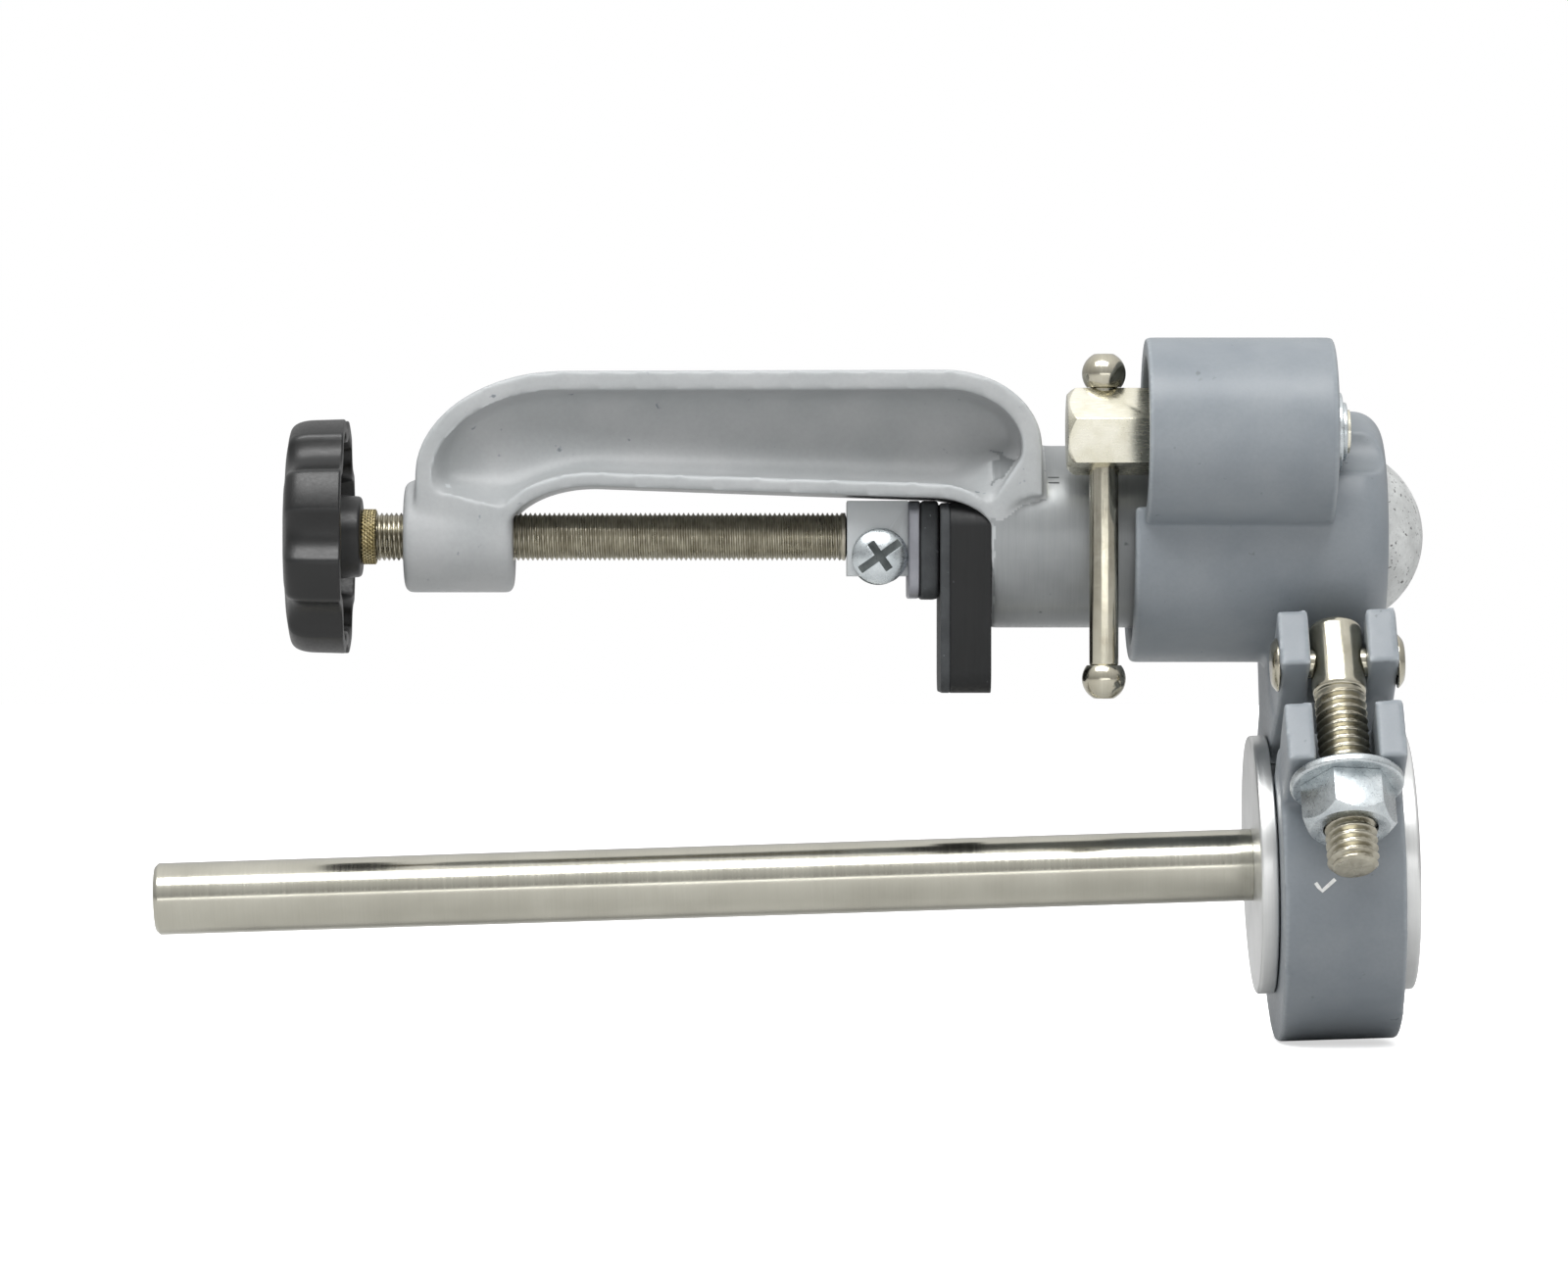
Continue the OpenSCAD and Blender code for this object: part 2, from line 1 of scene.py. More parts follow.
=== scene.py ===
import json
import math
import bmesh
import bpy
from mathutils import Matrix, Vector, noise
from mathutils.bvhtree import BVHTree


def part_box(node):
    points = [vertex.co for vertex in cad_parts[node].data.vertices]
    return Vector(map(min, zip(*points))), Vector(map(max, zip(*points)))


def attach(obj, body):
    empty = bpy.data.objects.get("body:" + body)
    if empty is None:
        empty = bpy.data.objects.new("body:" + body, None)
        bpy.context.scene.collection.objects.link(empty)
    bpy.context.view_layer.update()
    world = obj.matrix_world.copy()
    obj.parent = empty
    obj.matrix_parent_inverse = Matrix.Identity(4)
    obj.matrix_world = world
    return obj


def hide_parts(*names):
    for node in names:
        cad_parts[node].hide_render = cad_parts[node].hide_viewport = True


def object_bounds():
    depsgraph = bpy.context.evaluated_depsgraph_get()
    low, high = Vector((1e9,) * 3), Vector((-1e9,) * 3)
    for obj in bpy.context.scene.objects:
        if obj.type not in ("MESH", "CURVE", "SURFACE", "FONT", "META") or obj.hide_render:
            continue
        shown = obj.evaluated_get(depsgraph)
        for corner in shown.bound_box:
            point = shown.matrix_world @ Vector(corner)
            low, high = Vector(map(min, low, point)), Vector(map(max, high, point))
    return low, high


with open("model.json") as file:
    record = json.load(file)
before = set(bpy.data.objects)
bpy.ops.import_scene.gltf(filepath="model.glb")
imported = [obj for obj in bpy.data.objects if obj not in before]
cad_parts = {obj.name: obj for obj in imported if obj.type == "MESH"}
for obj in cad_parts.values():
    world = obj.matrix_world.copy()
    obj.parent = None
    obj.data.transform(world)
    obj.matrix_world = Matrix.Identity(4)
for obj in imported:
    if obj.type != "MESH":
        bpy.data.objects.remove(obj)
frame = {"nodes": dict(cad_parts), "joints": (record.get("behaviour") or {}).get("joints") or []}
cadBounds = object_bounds()

mm = 0.001
joints = {j["name"]: j for j in frame["joints"]}


# a frame with its own Z along a shaft and its own X at the back, where seams are out of sight
def shaftFrame(origin, along):
    zDir = Vector(along).normalized()
    xDir = (Vector((0, 1, 0)) - zDir * zDir.y).normalized()
    yDir = zDir.cross(xDir)
    axes = Matrix((xDir, yDir, zDir)).transposed().to_4x4()
    return Matrix.Translation(origin) @ axes


spindleFrame = shaftFrame((0, 0, 0), (1, 0, 0))
lockFrame = shaftFrame(joints["lock_turn"]["pos_m"], (1, 0, 0))
barFrame = shaftFrame(joints["lock_turn"]["pos_m"], joints["bar_slide"]["axis"])
ringFrame = shaftFrame(joints["arm_turn"]["pos_m"], joints["arm_turn"]["axis"])
boltFrame = shaftFrame(joints["nut_turn"]["pos_m"], [-c for c in joints["nut_turn"]["axis"]])
pinFrame = shaftFrame(joints["bolt_swing"]["pos_m"], [-c for c in joints["bolt_swing"]["axis"]])


# start, end and largest radius of a CAD node along a shaft, in mm
def span(node, place):
    back = place.inverted()
    points = [back @ v.co for v in frame["nodes"][node].data.vertices]
    radius = max(math.hypot(p.x, p.y) for p in points)
    return min(p.z for p in points) / mm, max(p.z for p in points) / mm, radius / mm


# the bar's axis stands away from the lock axis along X
barLow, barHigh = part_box("tommy_bar")
barFrame.translation.x = (barLow.x + barHigh.x) / 2
barFrame.translation.y = (barLow.y + barHigh.y) / 2

print("materials")


def linear(hexColour):
    parts = [int(hexColour[i:i + 2], 16) / 255 for i in (1, 3, 5)]
    return [c / 12.92 if c < 0.04045 else ((c + 0.055) / 1.055) ** 2.4 for c in parts] + [1]


# adds one node, sets its properties or inputs and links sockets into it
def addNode(tree, kind, settings=None, links=None):
    node = tree.nodes.new(kind)
    for key, value in (settings or {}).items():
        if hasattr(node, key):
            setattr(node, key, value)
        else:
            node.inputs[key].default_value = value
    for key, socket in (links or {}).items():
        tree.links.new(socket, node.inputs[key])
    return node


# noise stays near 0.5, so each pattern is stretched from a narrow band of it
cloudFrom, cloudTo = 0.35, 0.65
grainFrom, grainTo = 0.3, 0.7
speckSoftness = 0.06
# the band of pointiness over which edges take a lighter colour: partly wear, partly painted highlight
wearAndHighlightFrom, wearAndHighlightTo = 0.515, 0.56     # a flat face reads 0.5, a sharp edge more


# builds a finish from real sizes in mm; turned pieces use their UV, which is in mm
def finish(name, look):
    material = bpy.data.materials.new(name)
    material.use_nodes = True
    tree = material.node_tree
    tree.nodes.clear()
    turnedPiece = look.get("turned", False)
    perMm = 1.0 if turnedPiece else 1000.0
    where = addNode(tree, "ShaderNodeTexCoord").outputs["UV" if turnedPiece else "Object"]

    # slow change of tone over the surface
    cloud = addNode(tree, "ShaderNodeTexNoise", {"Scale": perMm / look["cloudMm"], "Detail": 3.0},
                    {"Vector": where})
    tone = addNode(tree, "ShaderNodeMapRange", {"From Min": cloudFrom, "From Max": cloudTo},
                   {"Value": cloud.outputs["Fac"]})
    colour = addNode(tree, "ShaderNodeMix", {"data_type": "RGBA"}, {"Factor": tone.outputs[0]})
    colour.inputs[6].default_value = linear(look["base"])
    colour.inputs[7].default_value = linear(look["second"])
    paint = colour.outputs[2]

    # the grain that the tool or the mould leaves
    stretched = addNode(tree, "ShaderNodeMapping", {"Scale": look.get("stretch", (1, 1, 1))},
                        {"Vector": where})
    grain = addNode(tree, "ShaderNodeTexNoise", {"Scale": perMm / look["grainMm"], "Detail": 4.0,
                                                 "Roughness": 0.6},
                    {"Vector": stretched.outputs[0]})
    grainTone = addNode(tree, "ShaderNodeMapRange", {"From Min": grainFrom, "From Max": grainTo,
                                                     "To Min": 1 - look["grainTone"], "To Max": 1.0},
                        {"Value": grain.outputs["Fac"]})
    toned = addNode(tree, "ShaderNodeMix", {"data_type": "RGBA", "blend_type": "MULTIPLY"})
    toned.inputs[0].default_value = 1.0
    tree.links.new(paint, toned.inputs[6])
    tree.links.new(grainTone.outputs[0], toned.inputs[7])
    paint = toned.outputs[2]

    # small pits, specks or chips
    if "speckMm" in look:
        specks = addNode(tree, "ShaderNodeTexNoise", {"Scale": perMm / look["speckMm"], "Detail": 2.0},
                         {"Vector": where})
        speckMask = addNode(tree, "ShaderNodeMapRange", {"From Min": look["speckFrom"],
                                                         "From Max": look["speckFrom"]
                                                         + speckSoftness},
                            {"Value": specks.outputs["Fac"]})
        specked = addNode(tree, "ShaderNodeMix", {"data_type": "RGBA"}, {"Factor": speckMask.outputs[0]})
        tree.links.new(paint, specked.inputs[6])
        specked.inputs[7].default_value = linear(look["speck"])
        paint = specked.outputs[2]

    # edges lightened from how convex the dense mesh is: partly polished by handling, partly a painted
    # edge highlight
    if "edge" in look:
        shape = addNode(tree, "ShaderNodeNewGeometry")
        edgeMask = addNode(tree, "ShaderNodeMapRange", {"From Min": wearAndHighlightFrom, "From Max": wearAndHighlightTo,
                                                        "To Max": look["edgeWearAndHighlight"]},
                           {"Value": shape.outputs["Pointiness"]})
        wornAndHighlit = addNode(tree, "ShaderNodeMix", {"data_type": "RGBA"}, {"Factor": edgeMask.outputs[0]})
        tree.links.new(paint, wornAndHighlit.inputs[6])
        wornAndHighlit.inputs[7].default_value = linear(look["edge"])
        paint = wornAndHighlit.outputs[2]

    low, high = look["roughness"]
    sheen = addNode(tree, "ShaderNodeMapRange", {"From Min": grainFrom, "From Max": grainTo,
                                                 "To Min": low, "To Max": high},
                    {"Value": grain.outputs["Fac"]})
    relief = addNode(tree, "ShaderNodeBump", {"Strength": 1.0, "Distance": look["reliefMm"] * mm},
                     {"Height": grain.outputs["Fac"]})
    broad = addNode(tree, "ShaderNodeBump", {"Strength": 1.0, "Distance": look["waveMm"] * mm},
                    {"Height": cloud.outputs["Fac"], "Normal": relief.outputs[0]})
    settings = {"Metallic": look.get("metallic", 0.0)}
    if "ior" in look:
        settings["IOR"] = look["ior"]
    shader = addNode(tree, "ShaderNodeBsdfPrincipled", settings,
                     {"Base Color": paint, "Roughness": sheen.outputs[0], "Normal": broad.outputs[0]})
    addNode(tree, "ShaderNodeOutputMaterial", {}, {"Surface": shader.outputs[0]})
    return material


# sprayed enamel over sand-cast iron: soft gloss over a slightly wavy skin;
# its orange peel is about 0.5 mm across and is drawn at 0.9 so that it shows
enamelOnCasting = finish("sprayed enamel on the clamp's sand-cast iron", {
    "base": "#a2a4a5", "second": "#999c9d", "cloudMm": 14, "grainMm": 0.9, "grainTone": 0.07,
    "roughness": (0.36, 0.5), "reliefMm": 0.012, "waveMm": 0.25, "ior": 1.5,
    "speckMm": 2.6, "speckFrom": 0.72, "speck": "#6c7277", "edge": "#b9bec0", "edgeWearAndHighlight": 0.55})

# the same enamel on the head, cooler and darker than on the frame
enamelOnHead = finish("sprayed enamel on the head's sand-cast iron", {
    "base": "#82888d", "second": "#787f85", "cloudMm": 16, "grainMm": 0.9, "grainTone": 0.07,
    "roughness": (0.34, 0.48), "reliefMm": 0.012, "waveMm": 0.25, "ior": 1.5,
    "speckMm": 2.4, "speckFrom": 0.72, "speck": "#63696e", "edge": "#aeb4b8", "edgeWearAndHighlight": 0.5})

# the same enamel thin over a turned post: fine rings show through, drawn at 0.5 mm for 0.1
enamelOnTurnedPost = finish("thin enamel on turned steel post", {
    "base": "#8e9192", "second": "#858889", "cloudMm": 11, "grainMm": 0.5, "stretch": (1, 0.04, 0.04),
    "grainTone": 0.1, "roughness": (0.28, 0.42), "reliefMm": 0.008, "waveMm": 0.1, "ior": 1.5,
    "metallic": 0.35, "speckMm": 3.1, "speckFrom": 0.72, "speck": "#66696c", "edge": "#b9bec0",
    "edgeWearAndHighlight": 0.4})

# bare aluminium as it left the sand: pale, matt, with dark pits
rawSandCasting = finish("raw sand-cast aluminium", {
    "base": "#dadcdb", "second": "#c6c8c7", "cloudMm": 5, "grainMm": 0.7, "grainTone": 0.16,
    "roughness": (0.5, 0.7), "reliefMm": 0.14, "waveMm": 0.3, "metallic": 0.35,
    "speckMm": 0.9, "speckFrom": 0.63, "speck": "#6d6c6c"})

# black nylon from a polished mould: deep black with a broad soft highlight;
# the mould's texture is near 0.1 mm and is drawn at 0.6
mouldedNylon = finish("moulded black nylon", {
    "base": "#060707", "second": "#0b0c0c", "cloudMm": 9, "grainMm": 0.6, "grainTone": 0.12,
    "roughness": (0.32, 0.44), "reliefMm": 0.01, "waveMm": 0.12, "ior": 1.5,
    "speckMm": 2.2, "speckFrom": 0.74, "speck": "#1c1d1e", "edge": "#3a3c3e", "edgeWearAndHighlight": 0.3})

# black nylon sawn from a slab: flatter black with faint lines from the blade,
# whose teeth leave a mark about every 0.8 mm
sawnNylon = finish("sawn black nylon", {
    "base": "#080909", "second": "#0e0f10", "cloudMm": 12, "grainMm": 0.8, "stretch": (1, 1, 0.08),
    "grainTone": 0.18, "roughness": (0.46, 0.62), "reliefMm": 0.02, "waveMm": 0.1, "ior": 1.4,
    "speckMm": 1.8, "speckFrom": 0.75, "speck": "#3a3c3e", "edge": "#3c3e40", "edgeWearAndHighlight": 0.3})

# cured rubber: dark, dusty and without shine; its dust is drawn coarser, at 0.5 mm
mouldedRubber = finish("moulded rubber", {
    "base": "#2d3032", "second": "#383b3d", "cloudMm": 4, "grainMm": 0.5, "grainTone": 0.2,
    "roughness": (0.68, 0.85), "reliefMm": 0.04, "waveMm": 0.2, "ior": 1.52,
    "speckMm": 1.2, "speckFrom": 0.7, "speck": "#565a5c"})

# bright zinc on pressed steel: cool grey with a satin cloud; rolling lines drawn at 0.5 mm for 0.1
zincOnPressedSteel = finish("bright zinc on pressed steel", {
    "base": "#93949a", "second": "#84858b", "cloudMm": 6, "grainMm": 0.5, "stretch": (1, 1, 0.2),
    "grainTone": 0.1, "roughness": (0.3, 0.45), "reliefMm": 0.01, "waveMm": 0.05, "metallic": 1.0})

# bright zinc on turned and forged fixings: pale blue-white; its crystals are too fine to show and
# are drawn at 0.5 mm
zincOnFixings = finish("bright zinc on steel fixings", {
    "base": "#d2d8da", "second": "#bdc4c7", "cloudMm": 3, "grainMm": 0.5, "grainTone": 0.1,
    "roughness": (0.24, 0.36), "reliefMm": 0.006, "waveMm": 0.05, "metallic": 1.0})

# the same zinc, darker and duller, for the driver recess: painted shade
zincWithPaintedRecessShade = finish("zinc darkened as painted recess shade", {
    "base": "#6f7474", "second": "#5b6060", "cloudMm": 2, "grainMm": 0.4, "grainTone": 0.2,
    "roughness": (0.45, 0.6), "reliefMm": 0.006, "waveMm": 0.03, "metallic": 1.0})

# nickel over milled steel: warm and bright with fine mill lines, drawn at 0.35 mm for 0.15
nickelOnMilledSteel = finish("nickel on milled steel", {
    "base": "#efecdd", "second": "#e0dcc8", "cloudMm": 5, "grainMm": 0.35, "stretch": (0.15, 1, 1),
    "grainTone": 0.07, "roughness": (0.2, 0.3), "reliefMm": 0.003, "waveMm": 0.04, "metallic": 1.0})

# nickel over drawn bar: narrow bright streaks along the bar from the drawing die, drawn coarser
# than real at 0.5 mm
nickelOnDrawnBar = finish("nickel on drawn steel bar", {
    "base": "#c6c2b2", "second": "#b5b09f", "turned": True, "cloudMm": 5, "grainMm": 0.5,
    "stretch": (1, 0.04, 1), "grainTone": 0.12, "roughness": (0.12, 0.22), "reliefMm": 0.012,
    "waveMm": 0.03, "metallic": 1.0})

# cut thread left bare: warm grey, oiled; tool chatter every 1.2 mm
cutThreadSteel = finish("cut thread on bare steel", {
    "base": "#bcb8a9", "second": "#a39e8e", "turned": True, "cloudMm": 3, "grainMm": 1.2,
    "stretch": (0.1, 0.5, 1), "grainTone": 0.12, "roughness": (0.24, 0.38), "reliefMm": 0.01,
    "waveMm": 0.03, "metallic": 1.0})

# yellow-passivated knurled collar: tan and a little dull, with 0.25 mm stains in the passivation
yellowPassivatedSteel = finish("yellow-passivated knurled steel", {
    "base": "#bdb18c", "second": "#a3966f", "turned": True, "cloudMm": 2, "grainMm": 0.25,
    "grainTone": 0.2, "roughness": (0.3, 0.5), "reliefMm": 0.01, "waveMm": 0.02, "metallic": 1.0})

# stainless bar polished while it turned: long highlight cut by fine rings, drawn at 0.45 mm for
# the 0.05 that polishing cloth leaves
polishedStainless = finish("stainless bar polished on the lathe", {
    "base": "#bdbbaf", "second": "#b1afa3", "turned": True, "cloudMm": 18, "grainMm": 0.45,
    "stretch": (0.03, 1, 1), "grainTone": 0.06, "roughness": (0.13, 0.22), "reliefMm": 0.004,
    "waveMm": 0.02, "metallic": 1.0})

# aluminium faced on the lathe: pale satin with rings from a 0.35 mm feed
facedAluminium = finish("faced aluminium", {
    "base": "#e2e3e2", "second": "#d6d7d6", "turned": True, "cloudMm": 12, "grainMm": 0.35,
    "stretch": (0.02, 1, 1), "grainTone": 0.06, "roughness": (0.28, 0.4), "reliefMm": 0.01,
    "waveMm": 0.03, "metallic": 1.0})

# brass shoe turned and left bare: warm yellow, soft shine
turnedBrass = finish("turned brass", {
    "base": "#c9a85c", "second": "#b8964c", "cloudMm": 4, "grainMm": 0.4, "grainTone": 0.1,
    "roughness": (0.25, 0.4), "reliefMm": 0.01, "waveMm": 0.03, "metallic": 1.0})

# screen-printed white mark: flat, a little chalky
printedWhite = finish("white marking paint", {
    "base": "#f0f0ee", "second": "#dedfdc", "cloudMm": 1.5, "grainMm": 0.4, "grainTone": 0.1,
    "roughness": (0.55, 0.7), "reliefMm": 0.01, "waveMm": 0.02, "ior": 1.48})
# the index dashes' dark is painted shade standing in for two engraved grooves; flat, a little chalky
paintedGrooveShade = finish("dark painted groove shade", {
    "base": "#3a3d3f", "second": "#4a4d4f", "cloudMm": 1.5, "grainMm": 0.4, "grainTone": 0.1,
    "roughness": (0.5, 0.65), "reliefMm": 0.01, "waveMm": 0.02, "ior": 1.48})

print("shape tools")
sharpAngle = math.radians(38)      # steeper edges than this stay crisp in the shading
flatAngle = math.radians(1.5)      # facets closer than this are one face
bevelAngle = math.radians(30)      # only edges steeper than this are broken
onAxis = 1e-4                      # mm; a point this near the shaft is drawn once
cornerShare = 0.48                 # the most of a side that one corner's rounding takes
weldDistance = 2e-6                # metres; joins the points that facets share
crestFlat, flankShare = 0.12, 0.66   # shares of a thread's half pitch


# puts a piece in the scene, with its finish, its body and the CAD nodes it stands for
def settle(piece, material, body, nodes=()):
    if not piece.data.materials:
        piece.data.materials.append(material)
    piece.data.shade_smooth()
    piece.data.set_sharp_from_angle(angle=sharpAngle)
    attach(piece, body)
    if nodes:
        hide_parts(*nodes)
    return piece


def addMesh(name, points, faces):
    mesh = bpy.data.meshes.new(name)
    mesh.from_pydata(points, [], faces)
    mesh.update()
    piece = bpy.data.objects.new(name, mesh)
    bpy.context.scene.collection.objects.link(piece)
    return piece


# rounds the corners of an outline given as (along, radius, rounding) in mm
def roundCorners(outline, closed=False, steps=5):
    count = len(outline)
    path = []
    for i, (along, radius, rounding) in enumerate(outline):
        here = Vector((along, radius))
        if rounding <= 0 or (not closed and i in (0, count - 1)):
            path.append(here)
            continue
        before = Vector(outline[i - 1][:2])
        after = Vector(outline[(i + 1) % count][:2])
        cutIn = min(rounding, cornerShare * (before - here).length)
        cutOut = min(rounding, cornerShare * (after - here).length)
        start = here + (before - here).normalized() * cutIn
        end = here + (after - here).normalized() * cutOut
        for step in range(steps + 1):
            t = step / steps
            path.append(start * (1 - t) ** 2 + here * 2 * t * (1 - t) + end * t * t)
    return path


# turns an outline round a shaft; bend(angle, along, radius) may change the radius
def turnPiece(name, place, path, sides=96, closed=False, bend=None):
    points, rows, lengths = [], [], [0.0]
    for i, here in enumerate(path):
        if i:
            lengths.append(lengths[-1] + (here - path[i - 1]).length)
        first = len(points)
        if here.y < onAxis:
            points.append(place @ Vector((0, 0, here.x * mm)))
            rows.append([first] * sides)
            continue
        for side in range(sides):
            angle = 2 * math.pi * side / sides
            radius = bend(angle, here.x, here.y) if bend else here.y
            points.append(place @ Vector((radius * math.cos(angle) * mm,
                                          radius * math.sin(angle) * mm, here.x * mm)))
        rows.append(list(range(first, first + sides)))
    faces, uvs = [], []
    meanRadius = max(p.y for p in path)
    pairs = list(zip(range(len(rows) - 1), range(1, len(rows))))
    if closed:
        pairs.append((len(rows) - 1, 0))
    for a, b in pairs:
        vHigh = lengths[b] if b else lengths[a] + (path[a] - path[0]).length
        for side in range(sides):
            after = (side + 1) % sides
            u0 = 2 * math.pi * side / sides * meanRadius
            u1 = 2 * math.pi * (side + 1) / sides * meanRadius
            corners = [(rows[a][side], u0, lengths[a]), (rows[a][after], u1, lengths[a]),
                       (rows[b][after], u1, vHigh), (rows[b][side], u0, vHigh)]
            kept = []
            for corner in corners:
                if corner[0] not in [k[0] for k in kept]:
                    kept.append(corner)
            if len(kept) > 2:
                faces.append([k[0] for k in kept])
                uvs.extend((k[1], k[2]) for k in kept)
    piece = addMesh(name, points, faces)
    layer = piece.data.uv_layers.new(name="turned")
    for i, uv in enumerate(uvs):
        layer.data[i].uv = uv
    skin = bmesh.new()
    skin.from_mesh(piece.data)
    bmesh.ops.recalc_face_normals(skin, faces=skin.faces)
    skin.to_mesh(piece.data)
    skin.free()
    return piece


# points along a straight stretch, close enough to carry a thread
def evenPath(start, end, radius, step):
    count = max(2, int(abs(end - start) / step))
    return [Vector((start + (end - start) * i / count, radius)) for i in range(count + 1)]


# depth below the crest of a 60 degree thread with a flat crest and root
def threadDepth(along, angle, pitch, depth):
    t = (along / pitch - angle / (2 * math.pi)) % 1.0
    rise = abs(2 * t - 1)
    return depth * min(1.0, max(0.0, (rise - crestFlat) / flankShare))


# a copy of a CAD node's mesh with shared points merged, as a piece of its own
def copyNode(name, node):
    mesh = frame["nodes"][node].data.copy()
    mesh.name = name
    mesh.materials.clear()
    shell = bmesh.new()
    shell.from_mesh(mesh)
    bmesh.ops.remove_doubles(shell, verts=shell.verts, dist=weldDistance)
    shell.to_mesh(mesh)
    shell.free()
    piece = bpy.data.objects.new(name, mesh)
    bpy.context.scene.collection.objects.link(piece)
    return piece


# replaces a piece's mesh by what its modifiers make of it
def applyModifiers(piece):
    graph = bpy.context.evaluated_depsgraph_get()
    graph.update()
    made = bpy.data.meshes.new_from_object(piece.evaluated_get(graph))
    piece.modifiers.clear()
    piece.data = made


# a casting: every edge and corner gets the fillet that sand leaves
def castPiece(name, node, look):
    piece = copyNode(name, node)
    remesh = piece.modifiers.new("skin", "REMESH")
    remesh.mode = "VOXEL"
    remesh.voxel_size = look["skinMm"] * mm
    smooth = piece.modifiers.new("fillets", "SMOOTH")
    smooth.factor = 0.5
    smooth.iterations = look["filletPasses"]
    applyModifiers(piece)
    return piece


# wears a channel between flanges down to a smooth trough; a point is in the channel
# if casting stands on all four sides of it
def troughChannel(piece, passes):
    graph = bpy.context.evaluated_depsgraph_get()
    tree = BVHTree.FromObject(piece, graph)
    inside = []
    for v in piece.data.vertices:
        start = v.co + v.normal * 0.3 * mm    # clear of the skin it stands on
        if all(tree.ray_cast(start, way)[0] for way in
               (Vector((1, 0, 0)), Vector((-1, 0, 0)), Vector((0, 0, 1)), Vector((0, 0, -1)))):
            inside.append(v.index)
    group = piece.vertex_groups.new(name="channel")
    group.add(inside, 1.0, "REPLACE")
    smooth = piece.modifiers.new("trough", "SMOOTH")
    smooth.factor = 0.9
    smooth.iterations = passes
    smooth.vertex_group = "channel"
    applyModifiers(piece)


# a machined or moulded piece: crisp faces with a small edge break
def brokenEdges(name, node, look):
    piece = copyNode(name, node)
    shell = bmesh.new()
    shell.from_mesh(piece.data)
    bmesh.ops.dissolve_limit(shell, angle_limit=flatAngle, verts=shell.verts, edges=shell.edges)
    shell.to_mesh(piece.data)
    shell.free()
    bevel = piece.modifiers.new("edge break", "BEVEL")
    bevel.width = look["edgeMm"] * mm
    bevel.segments = look["edgeSteps"]
    bevel.limit_method = "ANGLE"
    bevel.angle_limit = bevelAngle
    applyModifiers(piece)
    return piece


# a thin mark that lies on a round surface, through (along, height) points in mm
def surfaceMark(name, place, radius, line, width, thick):
    points, faces = [], []
    for i, (along, height) in enumerate(line):
        before, after = Vector(line[max(i - 1, 0)]), Vector(line[min(i + 1, len(line) - 1)])
        run = (after - before).normalized()
        side = Vector((-run.y, run.x)) * width / 2
        for reach in (radius, radius + thick):
            for sign in (-1, 1):
                a, h = along + sign * side.x, height + sign * side.y
                turn = math.pi - math.asin(h / radius)
                points.append(place @ Vector((reach * math.cos(turn) * mm,
                                              reach * math.sin(turn) * mm, a * mm)))
    for i in range(len(line) - 1):
        a, b = 4 * i, 4 * i + 4
        faces += [(a, a + 1, b + 1, b), (a + 2, b + 2, b + 3, a + 3), (a, b, b + 2, a + 2),
                  (a + 1, a + 3, b + 3, b + 1)]
    end = len(points) - 4
    faces += [(0, 2, 3, 1), (end, end + 1, end + 3, end + 2)]
    return addMesh(name, points, faces)


print("clamp frame")
clampLook = {
    "skinMm": 0.55,        # size of the casting's skin cells
    "filletPasses": 12,    # more passes give larger fillets
    "troughPasses": 320,   # more passes give a rounder channel
    "dashHeight": 12.0,    # index dashes above the post's axis
    "dashStart": 20.9, "dashLength": 3.6, "dashWidth": 0.25, "dashGap": 1.1,
    "markThick": 0.04, "markSunk": 0.02,
    "turnedBand": 0.12,    # how near the post's radius a turned face lies
    "turnedFrom": 14.0}    # past this, every face beyond the fixed jaw is turned

clampCasting = castPiece("clampCasting", "clamp_frame", clampLook)
troughChannel(clampCasting, clampLook["troughPasses"])
clampCasting.data.materials.append(enamelOnCasting)
clampCasting.data.materials.append(enamelOnTurnedPost)
postStart, postEnd, postRadius = span("post_plug", spindleFrame)
postFrom = span("fixed_jaw", spindleFrame)[1]
for face in clampCasting.data.polygons:
    middle = face.center / mm
    offRadius = abs(math.hypot(middle.y, middle.z) - postRadius)
    onPost = offRadius < clampLook["turnedBand"] or middle.x > postFrom + clampLook["turnedFrom"]
    if middle.x > postFrom and onPost:
        face.material_index = 1
settle(clampCasting, enamelOnCasting, "frame", ["clamp_frame"])

# two dark dashes on the post: painted shade where the post has engraved lines
for number in (1, 2):
    height = clampLook["dashHeight"] - (number - 1) * clampLook["dashGap"]
    start = clampLook["dashStart"]
    dash = surfaceMark("indexDash%d" % number, spindleFrame, postRadius - clampLook["markSunk"],
                       [(start, height), (start + clampLook["dashLength"], height)],
                       clampLook["dashWidth"], clampLook["markThick"])
    settle(dash, paintedGrooveShade, "frame")

print("post end")
plugLook = {"sides": 160, "domeSteps": 60, "lumpMm": 0.12, "lumpStepMm": 1.4,
            "rootShare": 0.7}      # the hidden root's radius as a share of the post's


# low lumps of a cast surface, always inward
def castLumps(angle, along, radius):
    spot = Vector((math.cos(angle) * radius, math.sin(angle) * radius, along)) / plugLook["lumpStepMm"]
    return radius - plugLook["lumpMm"] * (0.5 + 0.5 * noise.noise(spot))


rootRadius = postRadius * plugLook["rootShare"]
domeStart = postEnd - postRadius
domePath = [Vector((postStart, 0)), Vector((postStart, rootRadius)), Vector((domeStart, rootRadius))]
for i in range(plugLook["domeSteps"] + 1):
    t = math.pi / 2 * i / plugLook["domeSteps"]
    domePath.append(Vector((domeStart + postRadius * math.sin(t), postRadius * math.cos(t))))
postDome = turnPiece("postDome", spindleFrame, domePath, plugLook["sides"], bend=castLumps)
settle(postDome, rawSandCasting, "frame", ["post_plug"])

print("fixed jaw")
fixedJawLook = {"edgeMm": 0.7, "edgeSteps": 3}
fixedFacingLook = {"edgeMm": 0.35, "edgeSteps": 2}
fixedJawBlock = brokenEdges("fixedJawBlock", "fixed_jaw", fixedJawLook)
settle(fixedJawBlock, sawnNylon, "frame", ["fixed_jaw"])
fixedJawFacing = brokenEdges("fixedJawFacing", "fixed_jaw_pad", fixedFacingLook)
settle(fixedJawFacing, mouldedRubber, "frame", ["fixed_jaw_pad"])

